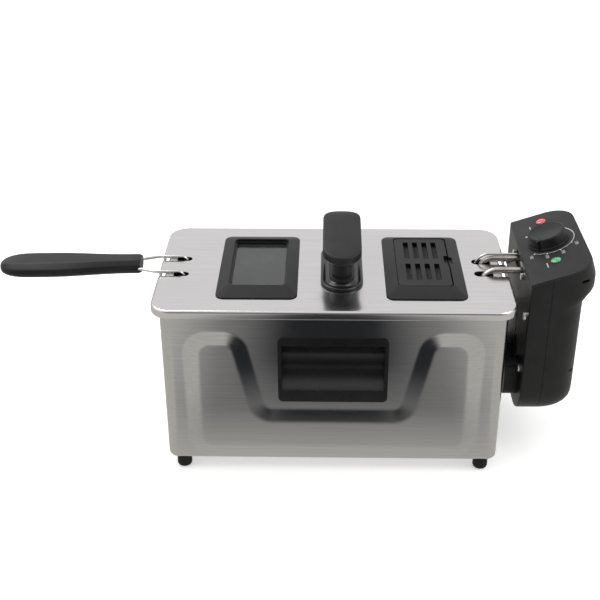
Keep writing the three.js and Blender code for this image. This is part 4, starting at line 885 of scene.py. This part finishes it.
def head_form():
    """The head's whole outside: a rounded foot, straight sides and a flared nose under the panel's lip."""
    low = HEAD.z0
    rings = []
    for k in range(17):
        rise = FOOT_ROUND * (1 - math.cos(math.radians(90 * k / 16)))
        half_y = HEAD_HALF - FOOT_ROUND + math.sqrt(FOOT_ROUND ** 2 - (FOOT_ROUND - rise) ** 2)
        up = min(rise, TOE)
        depth = HEAD_DEPTH - TOE + math.sqrt(TOE ** 2 - (TOE - up) ** 2)
        rings.append(head_ring(depth, 25, half_y, low + rise, 0))
    levels = [(HEAD_DEPTH, 25, 120, 0), (HEAD_DEPTH, 25, 165, 0.15), (HEAD_DEPTH + 0.2, 25, 170, 0.5),
              (HEAD_DEPTH + 1.2, 25.5, 171.3, 0.54), (NOSE_DEPTH - 1.2, 27.5, 177.6, 0.69),
              (NOSE_DEPTH, 28, 179.4, 0.72), (NOSE_DEPTH, 28, 185.2, 0.88),
              (NOSE_DEPTH - 0.3, 28, 187.4, 0.9), (LIP_DEPTH + 0.5, 25.4, 202.3, 1), (LIP_DEPTH, 25, 203.2, 1)]
    rings += [head_ring(depth, corner, HEAD_HALF, base, shear) for depth, corner, base, shear in levels]
    rings.append(head_ring(LIP_DEPTH - 0.35, 25, HEAD_HALF - 0.3, PANEL_EDGE_Z - 0.25, 1))
    rings.append(head_ring(LIP_DEPTH - 1.1, 25, HEAD_HALF - 1.1, PANEL_EDGE_Z, 1))
    return mesh_of(loft(rings))


def drilled(panel, y, radius):
    """The panel with a round hole through it."""
    ends = [PANEL_FRAME @ Vector((0, y, z)) for z in (-20, 20)]
    return boolean(panel, rod(*ends, radius, 32))


def head_inner(under):
    """The half that faces the housing: a pocket for the rail, a recess for the tubes and two spacer posts."""
    inner = keep_below(under, Vector((HEAD_INNER.x1, 0, 0)), Vector((1, 0, 0)))
    pocket = (HEAD.z0 - 2, Box("guide_rail").z1 + 4)
    for half_y, near, far in ((15.5, FACE_X - 5, FACE_X + 3), (25.0, FACE_X + 2.2, FACE_X + 9)):
        inner = boolean(inner, block((near, far), (-half_y, half_y), pocket))
    tube_z = Box("heating_element").z1 - ELEMENT["radius"]
    inner = boolean(inner, block((FACE_X - 1, FACE_X + 2.5), (-21, 21), (tube_z - 8, tube_z + 8)))
    for side in (-1, 1):
        post = flat(outline(10.5, 20, 8, side * 37.5, HEAD.z0 + 34, 8))
        inner = boolean(inner, prism(post, HEAD_INNER.x0, FACE_X + 1, "x"), "UNION")
    piece("head_inner", inner, "control_head", "head", ["head_inner_shell"], bevel=0.5)


def head_outer(under):
    """The half that faces away: two clip slots in its front side and the hole for the cord gland."""
    outer = keep_below(under, Vector((HEAD.x0, 0, 0)), Vector((-1, 0, 0)))
    for z in (206, 105):
        slot = flat(outline(4.0, 1.3, 1.2, FACE_X + 51, z, 4))
        outer = boolean(outer, prism(slot, -HEAD_HALF - 2, -HEAD_HALF + 12, "y"))
    gland_y, gland_z = Box("cord_gland").y, 88
    cord = rod((HEAD.x0 + 20, gland_y, gland_z), (FACE_X + 80, gland_y, gland_z), 6.0, 32)
    outer = boolean(outer, cord)
    piece("head_outer", outer, "control_head", "head", ["head_outer_shell"], bevel=0.4)


def control_head():
    form = head_form()
    normal = PANEL_FRAME.to_3x3() @ Vector((0, 0, 1))
    under = keep_below(form, PANEL_FRAME @ Vector((0, 0, -3.15)), normal)
    panel = keep_below(form, PANEL_FRAME @ Vector((0, 0, -3.0)), -normal)
    head_inner(under)
    head_outer(under)
    panel = drilled(panel, 0, 3.5)
    for side in (-1, 1):
        panel = drilled(panel, side * LAMP_Y, 4.4)
    piece("head_panel", panel, "control_head", "panel", ["control_panel"], bevel=0.35, segments=2)


def knob():
    """The turned cap with a pointer ridge on its side and a small mark on its top."""
    profile = [(0.5, 0.3), (20.5, 0.3), (20.5, 1.2), (20.2, 1.6), (19.7, 1.8), (18.5, 9.9), (18.1, 10.9),
               (17.3, 11.4), (16.3, 11.5), (15.5, 11.1), (0.5, 11.0)]
    towards = math.radians(235)
    ridge = mesh_of(prism(flat(outline(2.2, 1.1, 0.8, 19.0, 0, 4)), 1.6, 10.8))
    ridge.transform(Matrix.Rotation(towards, 4, "Z"))
    body = boolean(mesh_of(turned(profile, sides=96)), ridge, "UNION")
    mark_x, mark_y = 13.5 * math.cos(towards), 13.5 * math.sin(towards)
    mark = turned([(0.1, 10.5), (0.9, 10.5), (0.9, 11.25), (0.1, 11.3)], mark_x, mark_y, 16)
    piece("knob_cap", body, "knob", "head", ["control_knob"], sharp=40, place=PANEL_PLACE)
    piece("knob_mark", mark, "knob", "black", place=PANEL_PLACE)


def lamps():
    """Two domed lamp lenses, each between two small dots on the panel."""
    dome = [(0.3, -9.0), (4.1, -9.0), (4.1, 0.2), (4.9, 0.3), (4.9, 0.7), (4.5, 1.2), (3.4, 1.7), (1.8, 2.0),
            (0.3, 2.1)]
    dot = [(0.05, 0.0), (0.6, 0.0), (0.6, 0.25), (0.05, 0.3)]
    for name, y, finish in (
            ("red_power_lamp", LAMP_Y, "red_lens"), ("green_ready_lamp", -LAMP_Y, "green_lens")):
        piece(name + "_lens", turned(dome, 0, y, 40), "control_head", finish, [name], place=PANEL_PLACE)
        for tag, offset in (("a", -8.2), ("b", 8.2)):
            shape = turned(dot, offset * 0.25, y + offset, 12)
            piece(f"{name}_dot_{tag}", shape, "control_head", "black", place=PANEL_PLACE)


DIAL = {"radius": 25.5, "print": 0.12, "marks": [(320, "130"), (287, "150"), (258, "170"), (229, "190")]}


def arc_strip(radius, width, start, end, low, high):
    """A flat curved strip between two angles in degrees."""
    steps = max(4, int(abs(end - start) / 3))
    rings = []
    for i in range(steps + 1):
        a = math.radians(start + (end - start) * i / steps)
        way = Vector((math.cos(a), math.sin(a), 0))
        near, far = way * (radius - width / 2), way * (radius + width / 2)
        up = Vector((0, 0, 1))
        rings.append([near + up * low, far + up * low, far + up * high, near + up * high])
    return loft(rings)


def dial_print():
    """Ticks, a scale line, an off dot, the temperatures and a few plain strokes, printed round the knob."""
    low, high, r = 0.01, DIAL["print"], DIAL["radius"]
    shapes = [arc_strip(r, 1.1, 41, 8, low, high), arc_strip(r, 0.7, 8, -40, low, high),
              arc_strip(r, 0.45, -40, -131, low, high)]
    for angle, _ in DIAL["marks"]:
        shapes.append(arc_strip(r + 0.6, 2.4, angle - 1.2, angle + 1.2, low, high))
    for angle in (303, 273, 243):
        shapes.append(arc_strip(r + 0.3, 1.2, angle - 0.7, angle + 0.7, low, high))
    off = math.radians(133)
    spot = [(0.05, low), (1.5, low), (1.5, high), (0.05, high)]
    shapes.append(turned(spot, 27 * math.cos(off), 27 * math.sin(off), 24))
    for x, y, count in ((-12.5, 38.5, 3), (-9.0, -45.0, 4)):
        for middle in [y - k * 2.3 for k in range(count)]:
            shapes.append(block((x - 0.6, x + 0.6), (middle - 0.85, middle + 0.85), (low, high)))
    piece("dial_scale", combine(shapes), "control_head", "print", place=PANEL_PLACE)
    for angle, label in DIAL["marks"]:
        dial_number(math.radians(angle), label)


def dial_number(angle, label):
    """A temperature that stands upright when seen from the front of the fryer."""
    text = bpy.data.curves.new("label", "FONT")
    text.body = label
    text.size = 4.6
    text.extrude = 0.05
    text.align_x, text.align_y = "CENTER", "CENTER"
    holder = add("label", text)
    mesh = settled(holder)
    bpy.data.objects.remove(holder)
    x, y = [(DIAL["radius"] + 6.2) * share for share in (math.cos(angle), math.sin(angle))]
    mesh.transform(Matrix(((0, 1, 0, x), (-1, 0, 0, y), (0, 0, 1, 0.07), (0, 0, 0, 1))))
    piece("dial_number_" + label, mesh, "control_head", "print", place=PANEL_PLACE)


# ---- CAD pieces that keep their shape ------------------------

def carry_over():
    """Every CAD node that still shows gets its slot's node material and softened edges."""
    slots = {row["node"]: row["material_slot"] for row in frame["record"]["subparts"]}
    for name, node in frame["nodes"].items():
        if node.hide_render:
            continue
        node.data.materials.clear()
        node.data.materials.append(M[SLOTS[slots[name]][0]])
        soften(node, 0.25, 2)


# ---- Floor, light and camera ---------------------------------

MIRROR = {
    "middle": 0.043,
    "light": (0.62, 0.61, 0.58),
    "grey": (0.25, 0.25, 0.25),
    "dark": (0.02, 0.022, 0.026),
    "grey_across": (0.13, 0.2),
    "grey_near": (-0.2, -0.1),
    "grey_far": (-0.58, -0.48),
    "dark_across": (0.055, 0.12),
    "dark_near": (-0.3, -0.19),
}


def mirrored_floor():
    """What the steel mirrors of the floor: pale, with a grey patch in front and a darker one inside it."""
    f = Finish("floor_in_reflections", Roughness=1.0, Specular_IOR_Level=0.0, Emission_Strength=1.0)
    split = f.nodes.new("ShaderNodeSeparateXYZ")
    f.links.new(f.coords, split.inputs["Vector"])

    def calculate(operation, *values):
        node = f.nodes.new("ShaderNodeMath")
        node.operation = operation
        for socket, value in zip(node.inputs, values):
            if isinstance(value, float):
                socket.default_value = value
            else:
                f.links.new(value, socket)
        return node.outputs[0]

    aside = calculate("ABSOLUTE", calculate("SUBTRACT", split.outputs["X"], MIRROR["middle"]))
    ahead = split.outputs["Y"]

    def patch(kind):
        across = f.spread(aside, 1, 0, *MIRROR[kind + "_across"])
        return calculate("MULTIPLY", across, f.spread(ahead, 1, 0, *MIRROR[kind + "_near"]))

    narrow = patch("dark")
    wide = calculate("MULTIPLY", patch("grey"), f.spread(ahead, 0, 1, *MIRROR["grey_far"]))
    f.shader.inputs["Base Color"].default_value = (0, 0, 0, 1)
    tone = f.blend(narrow, f.blend(wide, MIRROR["light"], MIRROR["grey"]), MIRROR["dark"])
    f.links.new(tone, f.shader.inputs["Emission Color"])
    return f.material


def paper(name, light, dark, glow):
    """Pale studio paper, lit a little from within so that it stays white."""
    f = Finish(name, Roughness=0.8, Emission_Strength=glow)
    tone = f.blend(f.spread(f.noise(3, 3.0), 0, 1), dark, light)
    f.colour(tone)
    f.links.new(tone, f.shader.inputs["Emission Color"])
    return f.material


def card(name, x, y, z, material, seen=False):
    """A flat card from its extent along each axis; one that isn't seen shows only in reflections."""
    mesh = mesh_of(block(x, y, z))
    mesh.materials.append(material)
    made = add(name, mesh)
    made.visible_camera = seen
    if not seen:
        made.visible_diffuse = False
        made.visible_shadow = False
        made.visible_transmission = False


def area_light(name, place, aim, size, power):
    light = bpy.data.lights.new(name, "AREA")
    light.shape = "RECTANGLE"
    light.size, light.size_y = size
    light.energy = power
    holder = add(name, light)
    holder.location = place
    holder.rotation_euler = (Vector(aim) - Vector(place)).to_track_quat("-Z", "Y").to_euler()


def surroundings():
    """A pale world that turns dark towards the side that the camera looks from."""
    world = bpy.data.worlds.new("studio")
    bpy.context.scene.world = world
    world.use_nodes = True
    nodes, links = world.node_tree.nodes, world.node_tree.links
    background = nodes["Background"]
    background.inputs["Strength"].default_value = 0.85
    way = nodes.new("ShaderNodeTexCoord").outputs["Generated"]
    split = nodes.new("ShaderNodeSeparateXYZ")
    links.new(way, split.inputs["Vector"])
    light = remap(nodes, links, split.outputs["Y"], 0.12, 1.0, -0.9, -0.55)
    links.new(light, background.inputs["Color"])


def studio():
    pale = paper("floor_paper", (0.93, 0.93, 0.93), (0.9, 0.9, 0.9), 0.42)
    card("floor", (-4, 4), (-4, 4), (-0.02, 0), pale, seen=True)
    card("floor_seen_in_steel", (-4, 4), (-4, 4), (0.0005, 0.001), mirrored_floor())
    area_light("key", (-0.9, 0.5, 1.7), (0, 0, 0.1), (1.2, 1.2), 16)
    area_light("fill", (1.2, -0.4, 1.5), (0, 0, 0.1), (1.0, 1.0), 8)
    surroundings()
    bpy.context.scene.view_settings.view_transform = "Standard"


CAMERA = {"place": (0.03519, -0.98452, 0.69347), "yaw": -0.02637, "pitch": 0.50561, "roll": -0.00662,
          "lens": 66.34, "sensor": 36}


def camera():
    """The photograph's viewpoint: yaw and pitch of the line of sight, then a roll about it, in radians."""
    yaw, pitch, roll = CAMERA["yaw"], CAMERA["pitch"], CAMERA["roll"]
    forward = Vector((math.sin(yaw) * math.cos(pitch), math.cos(yaw) * math.cos(pitch), -math.sin(pitch)))
    level_right = Vector((math.cos(yaw), -math.sin(yaw), 0))
    level_up = level_right.cross(forward)
    right = math.cos(roll) * level_right + math.sin(roll) * level_up
    up = -math.sin(roll) * level_right + math.cos(roll) * level_up
    data = bpy.data.cameras.new("camera")
    data.sensor_width = CAMERA["sensor"]
    data.lens = CAMERA["lens"]
    data.clip_end = 20
    holder = add("camera", data)
    turn = Matrix((right, up, -forward)).transposed().to_4x4()
    holder.matrix_world = Matrix.Translation(CAMERA["place"]) @ turn
    bpy.context.scene.camera = holder


camera()
studio()
housing()
feet()
carry_handles()
oil_pot()
heating_element()
basket()
basket_handle()
lid_panel()
lid_window()
lid_vent()
vent_flap()
lid_handle()
control_head()
knob()
lamps()
dial_print()
carry_over()
